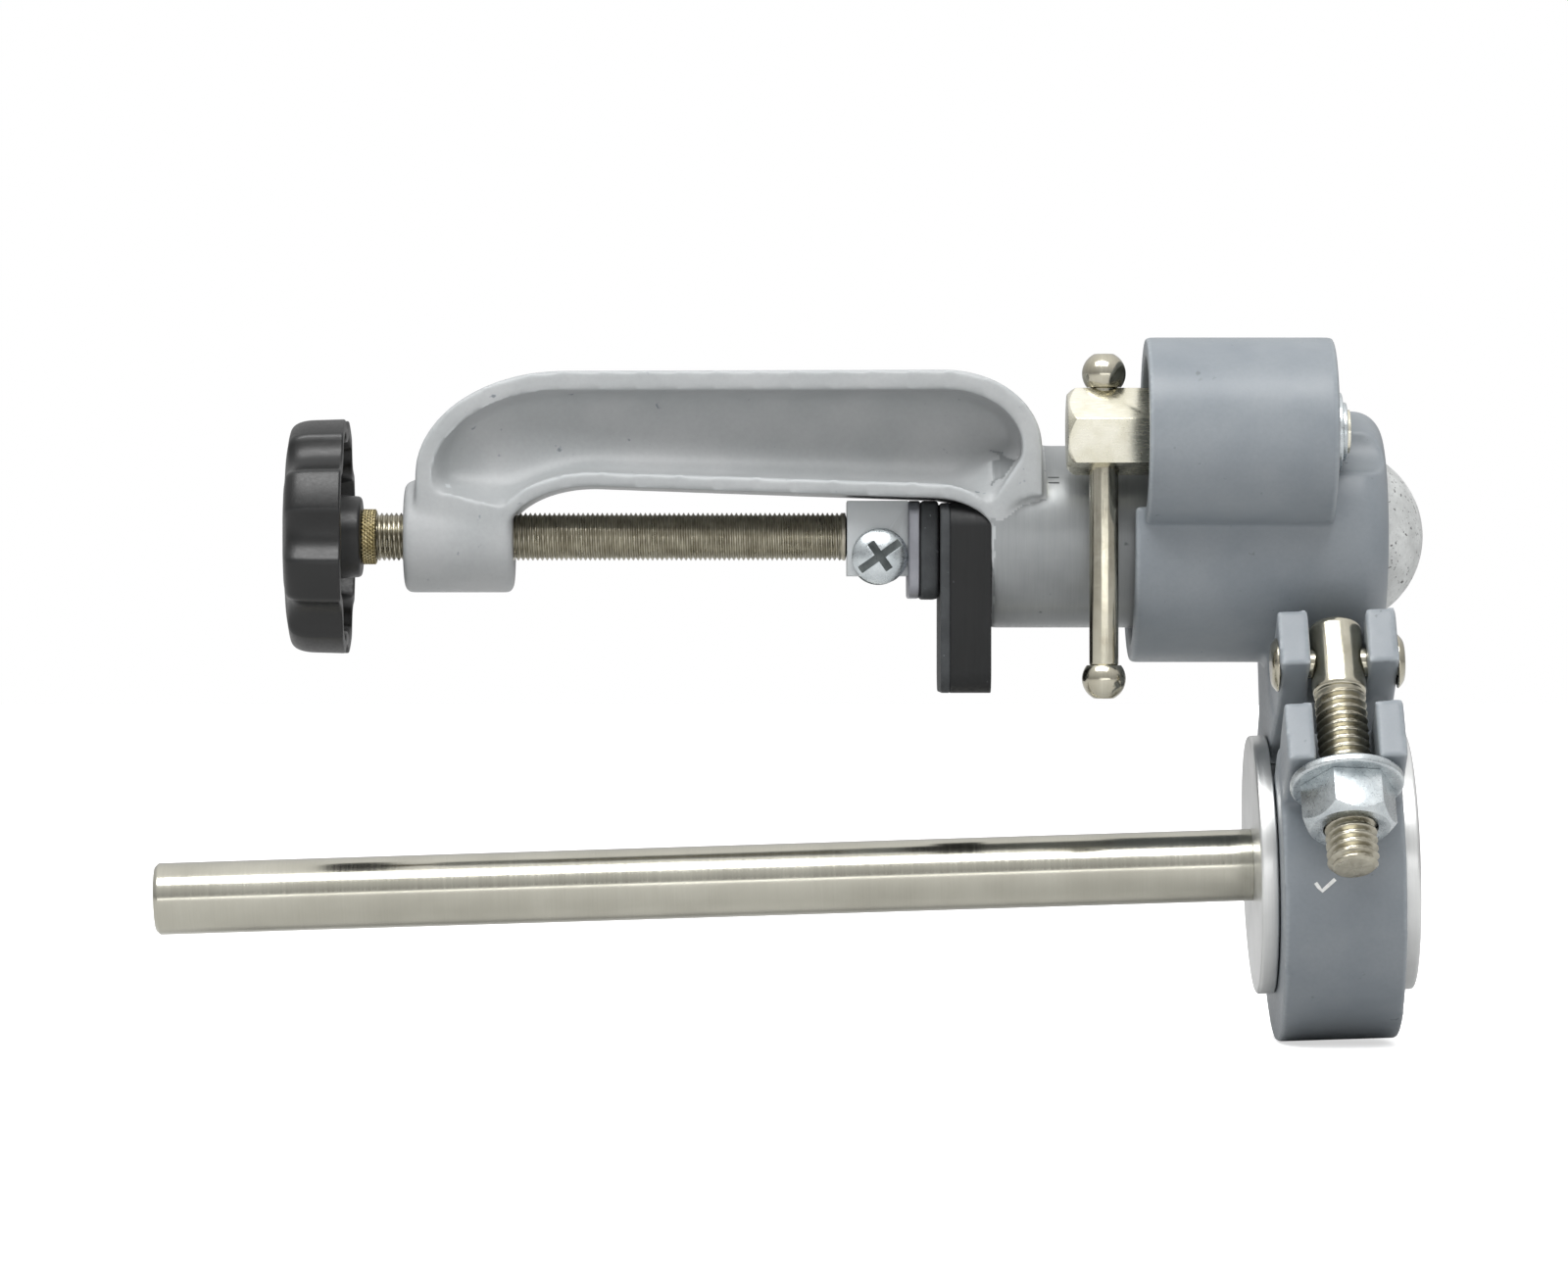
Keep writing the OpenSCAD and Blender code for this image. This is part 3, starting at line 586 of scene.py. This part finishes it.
print("moving jaw")
movingJawLook = {"edgeMm": 0.6, "edgeSteps": 3}
pressedPlateLook = {"edgeMm": 0.45, "edgeSteps": 3}
rubberLook = {"edgeMm": 0.8, "edgeSteps": 4}
panScrewLook = {
    "edgeMm": 0.12, "edgeSteps": 2,
    "domeRadius": 9.0,     # of the pan head's top
    "recessDepth": 0.25,   # deeper than this below the dome is in the driver recess
    "rimWidth": 0.7}       # the head's rim, where there's no recess
jawCasting = brokenEdges("jawCasting", "jaw_block", movingJawLook)
settle(jawCasting, enamelOnCasting, "jaw", ["jaw_block"])
jawPressedPlate = brokenEdges("jawPressedPlate", "jaw_plate", pressedPlateLook)
settle(jawPressedPlate, zincOnPressedSteel, "jaw", ["jaw_plate"])
jawRubber = brokenEdges("jawRubber", "jaw_pad", rubberLook)
settle(jawRubber, mouldedRubber, "jaw", ["jaw_pad"])
jawPanScrews = brokenEdges("jawPanScrews", "jaw_screws", panScrewLook)
jawPanScrews.data.materials.append(zincOnFixings)
jawPanScrews.data.materials.append(zincWithPaintedRecessShade)
screwLow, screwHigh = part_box("jaw_screws")
screwMiddle = (screwLow + screwHigh) / 2
domeRadius = panScrewLook["domeRadius"] * mm
domeMiddle = screwHigh.y - domeRadius
recessFloor = domeRadius - panScrewLook["recessDepth"] * mm
recessRadius = screwHigh.x - screwMiddle.x - panScrewLook["rimWidth"] * mm
# faces down in the driver recess take the darker zinc: painted shade
for face in jawPanScrews.data.polygons:
    off = face.center - screwMiddle
    deep = Vector((off.x, abs(off.y) - domeMiddle, off.z)).length < recessFloor
    if deep and abs(off.y) > domeMiddle and math.hypot(off.x, off.z) < recessRadius:
        face.material_index = 1
settle(jawPanScrews, zincOnFixings, "jaw", ["jaw_screws"])

print("spindle")
spindleLook = {
    "pitch": 1.0, "depth": 0.55, "stepsPerTurn": 10, "sides": 56,
    "leadIn": 1.0,         # the thread's fade at the plain tip
    "neckShare": 0.62,     # neck radius as a share of the spindle's
    "neckClear": 0.2, "shoulder": 1.4, "tipLength": 1.5, "tipStep": 0.3, "tipEdge": 0.5}
spindleStart, spindleEnd, spindleRadius = span("spindle", spindleFrame)


# the spindle's crest radius with its thread, fading at the plain tip
def spindleThread(angle, along, radius):
    if radius < spindleRadius - 0.05:
        return radius
    fade = min(1.0, max(0.0, (spindleTip - along) / spindleLook["leadIn"]))
    return radius - fade * threadDepth(along, angle, spindleLook["pitch"], spindleLook["depth"])


# the neck behind the tip carries the jaw's screws
neckBack = span("jaw_screws", spindleFrame)[0] - spindleLook["neckClear"]
neckRadius = spindleRadius * spindleLook["neckShare"]
spindleTip = neckBack - spindleLook["shoulder"]
tipStart = spindleEnd - spindleLook["tipLength"]
tipRadius = spindleRadius - spindleLook["tipStep"]
spindlePath = [Vector((spindleStart, 0)), Vector((spindleStart, spindleRadius))]
spindlePath += evenPath(spindleStart + 0.1, spindleTip, spindleRadius,
                        spindleLook["pitch"] / spindleLook["stepsPerTurn"])
spindlePath += [Vector(p) for p in (
    (spindleTip + 0.3, spindleRadius), (spindleTip + 0.8, neckRadius), (tipStart, neckRadius),
    (tipStart, tipRadius), (spindleEnd - 0.3, tipRadius),
    (spindleEnd, tipRadius - spindleLook["tipEdge"]), (spindleEnd, 0))]
jawSpindle = turnPiece("jawSpindle", spindleFrame, spindlePath, spindleLook["sides"],
                       bend=spindleThread)
settle(jawSpindle, cutThreadSteel, "spindle", ["spindle"])

print("knurled collar")
collarLook = {"knurls": 40, "grooveDepth": 0.3, "grooveStepMm": 1.1, "edge": 0.4, "sides": 320}
collarStart, collarEnd, collarRadius = span("knurled_collar", spindleFrame)


# diamond knurl: two crossing sets of grooves
def knurl(angle, along, radius):
    if radius < collarRadius - collarLook["edge"] / 2:
        return radius
    turnShare = angle / (2 * math.pi) * collarLook["knurls"]
    along = (along - collarStart) / collarLook["grooveStepMm"]
    first = abs(((turnShare + along) % 1.0) - 0.5) * 2
    second = abs(((turnShare - along) % 1.0) - 0.5) * 2
    return radius - collarLook["grooveDepth"] * max(first, second) ** 2


edgeRadius = collarRadius - collarLook["edge"]
collarPath = [Vector((collarStart + 0.05, spindleRadius)), Vector((collarStart + 0.05, edgeRadius))]
collarPath += evenPath(collarStart + 0.25, collarEnd - 0.25, collarRadius, 0.1)
collarPath += [Vector((collarEnd, edgeRadius)), Vector((collarEnd, spindleRadius))]
knurledRing = turnPiece("knurledRing", spindleFrame, collarPath, collarLook["sides"], closed=True,
                        bend=knurl)
settle(knurledRing, yellowPassivatedSteel, "spindle", ["knurled_collar"])

print("knob")
knobLook = {
    "lobes": 8, "fluteRadius": 6.5, "fluteDepth": 2.6,
    "wall": 2.6,          # thickness of the scalloped rim
    "webThick": 4.0,      # front web
    "bossRadius": 8.8, "bossLength": 3.0,
    "blend": 1.6,         # sharpness of the crest between flutes
    "plainRadius": 13.0,  # flutes fade in from here
    "fadeWidth": 8.0,
    "boreDepth": 8.0, "plugRadius": 6.4, "sides": 256}
knobStart, knobEnd, knobRadius = span("knob", spindleFrame)
rimEnd = knobEnd - knobLook["bossLength"]


# outer radius at an angle: a full circle with shallow round flutes cut in
def lobedRadius(angle):
    step = 2 * math.pi / knobLook["lobes"]
    turn = (angle + step / 2) % step - step / 2
    centre = knobRadius + knobLook["fluteRadius"] - knobLook["fluteDepth"]
    inside = knobLook["fluteRadius"] ** 2 - (centre * math.sin(turn)) ** 2
    if inside <= 0:
        return knobRadius
    flute = centre * math.cos(turn) - math.sqrt(inside)
    k = knobLook["blend"]
    return min(knobRadius, -math.log(math.exp(-k * flute) + math.exp(-k * knobRadius)) / k)


# the flutes, fading out towards the knob's middle
def lobes(angle, along, radius):
    weight = min(1.0, max(0.0, (radius - knobLook["plainRadius"]) / knobLook["fadeWidth"]))
    weight = weight * weight * (3 - 2 * weight)
    return radius - (knobRadius - lobedRadius(angle)) * weight


innerRim = knobRadius - knobLook["wall"]
webBack = knobStart + knobLook["webThick"]
boreEnd, boreRadius = knobEnd - knobLook["boreDepth"], spindleRadius + 0.05
plugRadius = knobLook["plugRadius"]
knobOutline = [
    (knobStart + 0.5, 0, 0), (knobStart + 0.5, plugRadius, 0.4), (knobStart + 0.1, plugRadius + 0.6, 0.4),
    (knobStart + 0.1, 9.5, 1.0), (knobStart + 0.6, 18, 5),
    (knobStart + 1.6, knobRadius - 1.6, 1.4), (knobStart + 4.2, knobRadius - 0.25, 2.5),
    (rimEnd - 0.1, knobRadius, 0.5), (rimEnd, knobRadius - 0.9, 0.4), (rimEnd, innerRim, 0.4),
    (webBack + 1.5, innerRim - 1.2, 2.0), (webBack, innerRim - 4, 1.5),
    (webBack, knobLook["bossRadius"] + 1.5, 1.5), (rimEnd - 1.5, knobLook["bossRadius"] - 0.1, 2.0),
    (knobEnd, knobLook["bossRadius"] - 0.4, 0.9), (knobEnd, collarRadius, 0.2),
    (knobEnd - 0.8, boreRadius, 0), (boreEnd, boreRadius, 0), (boreEnd, 0, 0)]
lobedKnob = turnPiece("lobedKnob", spindleFrame, roundCorners(knobOutline, steps=6),
                      knobLook["sides"], bend=lobes)
settle(lobedKnob, mouldedNylon, "spindle", ["knob"])

print("swivel head")
headLook = {
    "skinMm": 0.55, "filletPasses": 10,
    "tickRadius": 37.0,    # the ring's outside
    "tickWidth": 0.75, "tickThick": 0.05, "tickSunk": 0.01,
    # the painted tick's bends, along the ring's axis and up from its middle
    "tickLine": [(-6.2, -2.6), (-5.6, -3.5), (-4.9, -4.3), (-3.6, -3.2), (-2.2, -2.0)]}
headCasting = castPiece("headCasting", "swivel_head", headLook)
settle(headCasting, enamelOnHead, "head", ["swivel_head"])
tick = surfaceMark("whiteTick", ringFrame, headLook["tickRadius"] - headLook["tickSunk"],
                   headLook["tickLine"], headLook["tickWidth"], headLook["tickThick"])
settle(tick, printedWhite, "head")

print("pivot pin")
pinLook = {"shank": 3.0, "headThick": 1.5, "headSlope": 1.2, "headCrown": 1.4, "sides": 64}
pinStart, pinEnd, pinHead = span("pivot_pin", pinFrame)
crown, shank = pinHead - pinLook["headCrown"], pinLook["shank"]
pinLeft, pinRight = pinStart + pinLook["headThick"], pinEnd - pinLook["headThick"]
pivotPin = turnPiece("pivotPin", pinFrame, roundCorners([
    (pinStart, 0, 0), (pinStart, crown, 1.0), (pinStart + pinLook["headSlope"], pinHead, 0.4),
    (pinLeft, pinHead, 0.1), (pinLeft, shank, 0), (pinRight, shank, 0), (pinRight, pinHead, 0.1),
    (pinEnd - pinLook["headSlope"], pinHead, 0.4), (pinEnd, crown, 1.0), (pinEnd, 0, 0)]),
    pinLook["sides"])
settle(pivotPin, nickelOnDrawnBar, "head", ["pivot_pin"])

print("lock lever")
lockLook = {"edgeMm": 0.22, "edgeSteps": 2,
            "ringHole": 4.55}      # radius of the washer's and the clip's holes
leverLook = {"sides": 64, "barEdge": 0.4,
             "ballSteps": 24, "ballFlat": 2.0,            # radius of the flat at a ball's tip
             "dimple": 0.9, "dimpleDeep": 0.5}            # centre mark left by the lathe
lockHexShaft = brokenEdges("lockHexShaft", "lock_shaft", lockLook)
settle(lockHexShaft, nickelOnMilledSteel, "lock", ["lock_shaft"])
for name, node in (("lockBrightWasher", "lock_washer"), ("lockSpringClip", "lock_clip")):
    start, end, radius = span(node, lockFrame)
    inner = lockLook["ringHole"]
    ring = turnPiece(name, lockFrame, roundCorners(
        [(start, inner, 0.1), (start, radius, 0.25), (end, radius, 0.35), (end, inner, 0.15)], True),
        96, closed=True)
    settle(ring, zincOnFixings, "lock", [node])

barStart, barEnd, barRadius = span("tommy_bar", barFrame)
leverBar = turnPiece("leverBar", barFrame, roundCorners(
    [(barStart, 0, 0), (barStart, barRadius, leverLook["barEdge"]),
     (barEnd, barRadius, leverLook["barEdge"]), (barEnd, 0, 0)]), leverLook["sides"])
settle(leverBar, nickelOnDrawnBar, "bar", ["tommy_bar"])
for name, node, outward in (("leverBallTop", "bar_ball_top", 1), ("leverBallLow", "bar_ball_low", -1)):
    start, end, radius = span(node, barFrame)
    tip, root = (end, start) if outward > 0 else (start, end)
    centre = tip - outward * radius
    fromAngle = math.asin((root - centre) * outward / radius)
    toAngle = math.acos(leverLook["ballFlat"] / radius)
    ballPath = [Vector((root, 0))]
    for i in range(leverLook["ballSteps"] + 1):
        t = fromAngle + i / leverLook["ballSteps"] * (toAngle - fromAngle)
        ballPath.append(Vector((centre + outward * radius * math.sin(t), radius * math.cos(t))))
    flat = ballPath[-1].x
    ballPath += [Vector((flat, leverLook["dimple"] + 0.2)),
                 Vector((flat - outward * 0.15, leverLook["dimple"])),
                 Vector((flat - outward * leverLook["dimpleDeep"], 0))]
    ball = turnPiece(name, barFrame, ballPath, leverLook["sides"])
    settle(ball, nickelOnDrawnBar, "bar", [node])

print("swing bolt")
boltLook = {
    "pitch": 1.814, "depth": 1.0, "stepsPerTurn": 16, "sides": 80,
    "threadUnder": 0.25,   # how far the thread's crest lies under the plain eye end
    "eyeLow": -7.2,        # the plain end's shoulder, from the pivot
    "shoulder": 0.6, "runOut": 1.2,
    "pointStep": 1.2, "pointSlope": 1.2,   # the chamfer at the bolt's end
    "pointFlat": 1.2}
boltLow, boltTop, boltRadius = span("swing_bolt", boltFrame)
eyeLow = boltLook["eyeLow"]
threadTop = eyeLow - boltLook["shoulder"]
threadRadius = boltRadius - boltLook["threadUnder"]


# coarse thread below the eye, with a run-out at both ends
def boltThread(angle, along, radius):
    if abs(radius - threadRadius) > 0.01:
        return radius
    fade = min(1.0, max(0.0, (threadTop - along) / boltLook["runOut"]))
    cut = radius - fade * threadDepth(along, angle, boltLook["pitch"], boltLook["depth"])
    return min(cut, threadRadius - boltLook["pointStep"] + (along - boltLow) * boltLook["pointSlope"])


boltPath = [Vector((boltLow, 0)), Vector((boltLow, boltLook["pointFlat"])),
            Vector((boltLow + 0.02, threadRadius - boltLook["pointStep"] - 0.1))]
boltPath += evenPath(boltLow + 0.05, threadTop, threadRadius,
                     boltLook["pitch"] / boltLook["stepsPerTurn"])
boltPath += roundCorners([(eyeLow - 0.5, threadRadius - 0.5, 0), (eyeLow, boltRadius, 0.9),
                          (boltTop, boltRadius, 1.6), (boltTop, 0, 0)])
eyeBolt = turnPiece("eyeBolt", boltFrame, boltPath, boltLook["sides"], bend=boltThread)
eyeBolt.data.materials.append(cutThreadSteel)
eyeBolt.data.materials.append(nickelOnDrawnBar)
outOfBolt = boltFrame.inverted()
for face in eyeBolt.data.polygons:
    if (outOfBolt @ face.center).z / mm > threadTop:
        face.material_index = 1
settle(eyeBolt, cutThreadSteel, "bolt", ["swing_bolt"])

print("bolt washer and nut")
washerLook = {"hole": 5.7, "edge": 0.7, "sides": 128}
nutLook = {"edgeMm": 0.25, "edgeSteps": 2}
washerLow, washerTop, washerRadius = span("bolt_washer", boltFrame)
hole, washerEdge = washerLook["hole"], washerLook["edge"]
pressedWasher = turnPiece("pressedWasher", boltFrame, roundCorners(
    [(washerLow, hole, 0.2), (washerTop, hole, 0.2), (washerTop, washerRadius, washerEdge),
     (washerLow, washerRadius, washerEdge)], True), washerLook["sides"], closed=True)
settle(pressedWasher, zincOnFixings, "washer", ["bolt_washer"])
chamferedNut = brokenEdges("chamferedNut", "bolt_nut", nutLook)
settle(chamferedNut, zincOnFixings, "nut", ["bolt_nut"])

print("arm and spool")
armLook = {
    "endChamfer": 0.8, "spigotStep": 1.0, "sides": 128,
    "screwBore": 3.1, "screwDepth": 18.0}      # the hole for the spool's screw
spoolLook = {
    "flangeEdge": 0.9, "sides": 160,
    "hubRadius": 21.9,
    "sinkRadius": 6.15, "sinkDepth": 3.0}      # countersink in the disc
rodStart, rodEnd, rodRadius = span("arm_rod", ringFrame)
spigotRadius = rodRadius - armLook["spigotStep"]
spoolStart, spoolEnd, flangeRadius = span("arm_spool", ringFrame)
discStart, discEnd, discRadius = span("spool_disc", ringFrame)
flangeThick = discEnd - discStart
hubRadius, flangeEdge = spoolLook["hubRadius"], spoolLook["flangeEdge"]
screwBore = armLook["screwBore"]
armSpool = turnPiece("armSpool", ringFrame, roundCorners(
    [(spoolStart, spigotRadius, 0.4), (spoolStart, flangeRadius, flangeEdge),
     (spoolStart + flangeThick, flangeRadius, 0.4), (spoolStart + flangeThick, hubRadius, 0),
     (spoolEnd, hubRadius, 0.2), (spoolEnd, spigotRadius, 0)], True),
    spoolLook["sides"], closed=True)
settle(armSpool, facedAluminium, "arm", ["arm_spool"])
spoolDisc = turnPiece("spoolDisc", ringFrame, roundCorners(
    [(discStart, screwBore, 0), (discStart, discRadius, 0.4), (discEnd, discRadius, flangeEdge),
     (discEnd, spoolLook["sinkRadius"], 0.2), (discEnd - spoolLook["sinkDepth"], screwBore, 0)],
    True), spoolLook["sides"], closed=True)
settle(spoolDisc, facedAluminium, "arm", ["spool_disc"])

longArm = turnPiece("longArm", ringFrame, roundCorners(
    [(rodStart, 0, 0), (rodStart, rodRadius - armLook["endChamfer"], 0.15),
     (rodStart + armLook["endChamfer"], rodRadius, 0.25), (spoolStart, rodRadius, 0.1),
     (spoolStart, spigotRadius, 0), (rodEnd, spigotRadius, 0.1),
     (rodEnd, screwBore, 0), (rodEnd - armLook["screwDepth"], screwBore, 0),
     (rodEnd - armLook["screwDepth"], 0, 0)]), armLook["sides"])
settle(longArm, polishedStainless, "arm", ["arm_rod"])

screwLook = {"shank": 3.0, "headDepth": 3.0, "socketFlat": 2.5, "socketDeep": 2.2, "sides": 96,
             "socketFit": 0.98}    # keeps the socket's corners inside the head
screwStart, screwEnd, screwRadius = span("spool_screw", ringFrame)
socketFlat = screwLook["socketFlat"]
socketFloor = screwEnd - screwLook["socketDeep"]


# six flats of the screw's socket
def socketFlats(angle, along, radius):
    if radius > socketFlat or along < socketFloor - 0.1:
        return radius
    return radius / math.cos((angle % (math.pi / 3)) - math.pi / 6) * screwLook["socketFit"]


spoolScrew = turnPiece("spoolScrew", ringFrame, [Vector(p) for p in (
    (screwStart, 0), (screwStart, screwLook["shank"] - 0.4),
    (screwStart + 0.4, screwLook["shank"]), (screwEnd - screwLook["headDepth"], screwLook["shank"]),
    (screwEnd - 0.4, screwRadius - 0.4), (screwEnd - 0.1, screwRadius - 0.35),
    (screwEnd - 0.1, socketFlat + 0.4), (screwEnd - 0.2, socketFlat - 0.01),
    (socketFloor, socketFlat - 0.02), (socketFloor - 0.5, 0))], screwLook["sides"],
    bend=socketFlats)
settle(spoolScrew, zincOnFixings, "arm", ["spool_screw"])

# pieces inside, of which only edges show, keep their plain shapes
print("pieces inside")
for node, material in (("fixed_jaw_screws", zincOnFixings), ("thrust_disc", nickelOnMilledSteel),
                       ("lock_shoe", turnedBrass)):
    cadPiece = frame["nodes"][node]
    cadPiece.data.materials.clear()
    cadPiece.data.materials.append(material)

print("studio")
studio = {
    "viewDistance": 1.3, "eyeX": -0.0323, "eyeZ": -0.0199,   # metres
    "frameWidth": 0.3275,  # width seen at the object
    "sensorWidth": 36,
    "keyPower": 19, "keyElevation": 58, "keyDistance": 1.4, "keySize": (1.44, 0.54),
    "fillPower": 7, "fillDistance": 1.6, "fillSize": (1.6, 0.5),
    "world": 0.95, "skyTop": 1.25, "skyLevel": 0.46, "skyBottom": 0.62,
    "levelStop": 0.52,     # where on the ramp from straight down to straight up the sky is darkest
    "floorSize": 6.0, "floorGap": 0.0002,
    "floorColour": "#f4f4f4", "floorGlow": 0.6, "floorMirrored": "#cccccc"}
scene = bpy.context.scene
scene.view_settings.view_transform = "Standard"
scene.view_settings.look = "None"

# matt floor: near white to the camera, greyer in what the metal reflects
floorMaterial = bpy.data.materials.new("white matt floor")
floorMaterial.use_nodes = True
ground = floorMaterial.node_tree
ground.nodes.clear()
groundSeen = addNode(ground, "ShaderNodeBsdfPrincipled", {
    "Base Color": linear(studio["floorColour"]), "Roughness": 0.9, "Emission Color": (1, 1, 1, 1),
    "Emission Strength": studio["floorGlow"]})
groundMirrored = addNode(ground, "ShaderNodeBsdfPrincipled", {
    "Base Color": linear(studio["floorMirrored"]), "Roughness": 0.9})
groundRays = addNode(ground, "ShaderNodeLightPath")
groundMix = addNode(ground, "ShaderNodeMixShader", {}, {"Fac": groundRays.outputs["Is Camera Ray"]})
ground.links.new(groundMirrored.outputs[0], groundMix.inputs[1])
ground.links.new(groundSeen.outputs[0], groundMix.inputs[2])
addNode(ground, "ShaderNodeOutputMaterial", {}, {"Surface": groundMix.outputs[0]})
floorZ = cadBounds[0].z - studio["floorGap"]
size = studio["floorSize"]
floor = addMesh("studioFloor", [(-size, -size, floorZ), (size, -size, floorZ), (size, size, floorZ),
                                (-size, size, floorZ)], [(0, 1, 2, 3)])
floor.data.materials.append(floorMaterial)

# a soft sky: brighter overhead, darker at eye level, and plain white where the camera sees it
world = bpy.data.worlds.new("studio")
scene.world = world
world.use_nodes = True
sky = world.node_tree
sky.nodes.clear()
direction = addNode(sky, "ShaderNodeTexCoord").outputs["Generated"]
height = addNode(sky, "ShaderNodeSeparateXYZ", {}, {"Vector": direction}).outputs["Z"]
ramp = addNode(sky, "ShaderNodeValToRGB")
share = addNode(sky, "ShaderNodeMapRange", {"From Min": -1.0, "From Max": 1.0}, {"Value": height})
sky.links.new(share.outputs[0], ramp.inputs["Fac"])
stops = ramp.color_ramp.elements
stops[0].position, stops[1].position = 0.0, 1.0
stops[0].color = [studio["skyBottom"]] * 3 + [1]
stops[1].color = [studio["skyTop"]] * 3 + [1]
middleStop = stops.new(studio["levelStop"])
middleStop.color = [studio["skyLevel"]] * 3 + [1]
lit = addNode(sky, "ShaderNodeBackground", {"Strength": studio["world"]}, {"Color": ramp.outputs[0]})
seen = addNode(sky, "ShaderNodeBackground", {"Color": (1, 1, 1, 1), "Strength": 1.0})
rays = addNode(sky, "ShaderNodeLightPath")
blend = addNode(sky, "ShaderNodeMixShader", {}, {"Fac": rays.outputs["Is Camera Ray"]})
sky.links.new(lit.outputs[0], blend.inputs[1])
sky.links.new(seen.outputs[0], blend.inputs[2])
addNode(sky, "ShaderNodeOutputWorld", {}, {"Surface": blend.outputs[0]})


# a softbox that faces the object's middle from a direction
def addSoftbox(name, power, size, direction, distance):
    light = bpy.data.lights.new(name, "AREA")
    light.shape = "RECTANGLE"
    light.size, light.size_y = size
    light.energy = power
    lamp = bpy.data.objects.new(name, light)
    middle = (cadBounds[0] + cadBounds[1]) / 2
    lamp.location = middle + Vector(direction).normalized() * distance
    lamp.rotation_euler = (middle - lamp.location).to_track_quat("-Z", "Y").to_euler()
    scene.collection.objects.link(lamp)


keyUp = math.radians(studio["keyElevation"])
addSoftbox("keySoftbox", studio["keyPower"], studio["keySize"],
           (-0.15, -math.cos(keyUp), math.sin(keyUp)), studio["keyDistance"])
addSoftbox("lowFill", studio["fillPower"], studio["fillSize"], (0.1, -1, -0.12),
           studio["fillDistance"])

print("camera")
camera = bpy.data.objects.new("camera", bpy.data.cameras.new("camera"))
camera.location = (studio["eyeX"], -studio["viewDistance"], studio["eyeZ"])
camera.rotation_euler = (math.pi / 2, 0, 0)
camera.data.sensor_width = studio["sensorWidth"]
camera.data.lens = studio["sensorWidth"] * studio["viewDistance"] / studio["frameWidth"]
camera.data.dof.use_dof = False
scene.collection.objects.link(camera)
scene.camera = camera
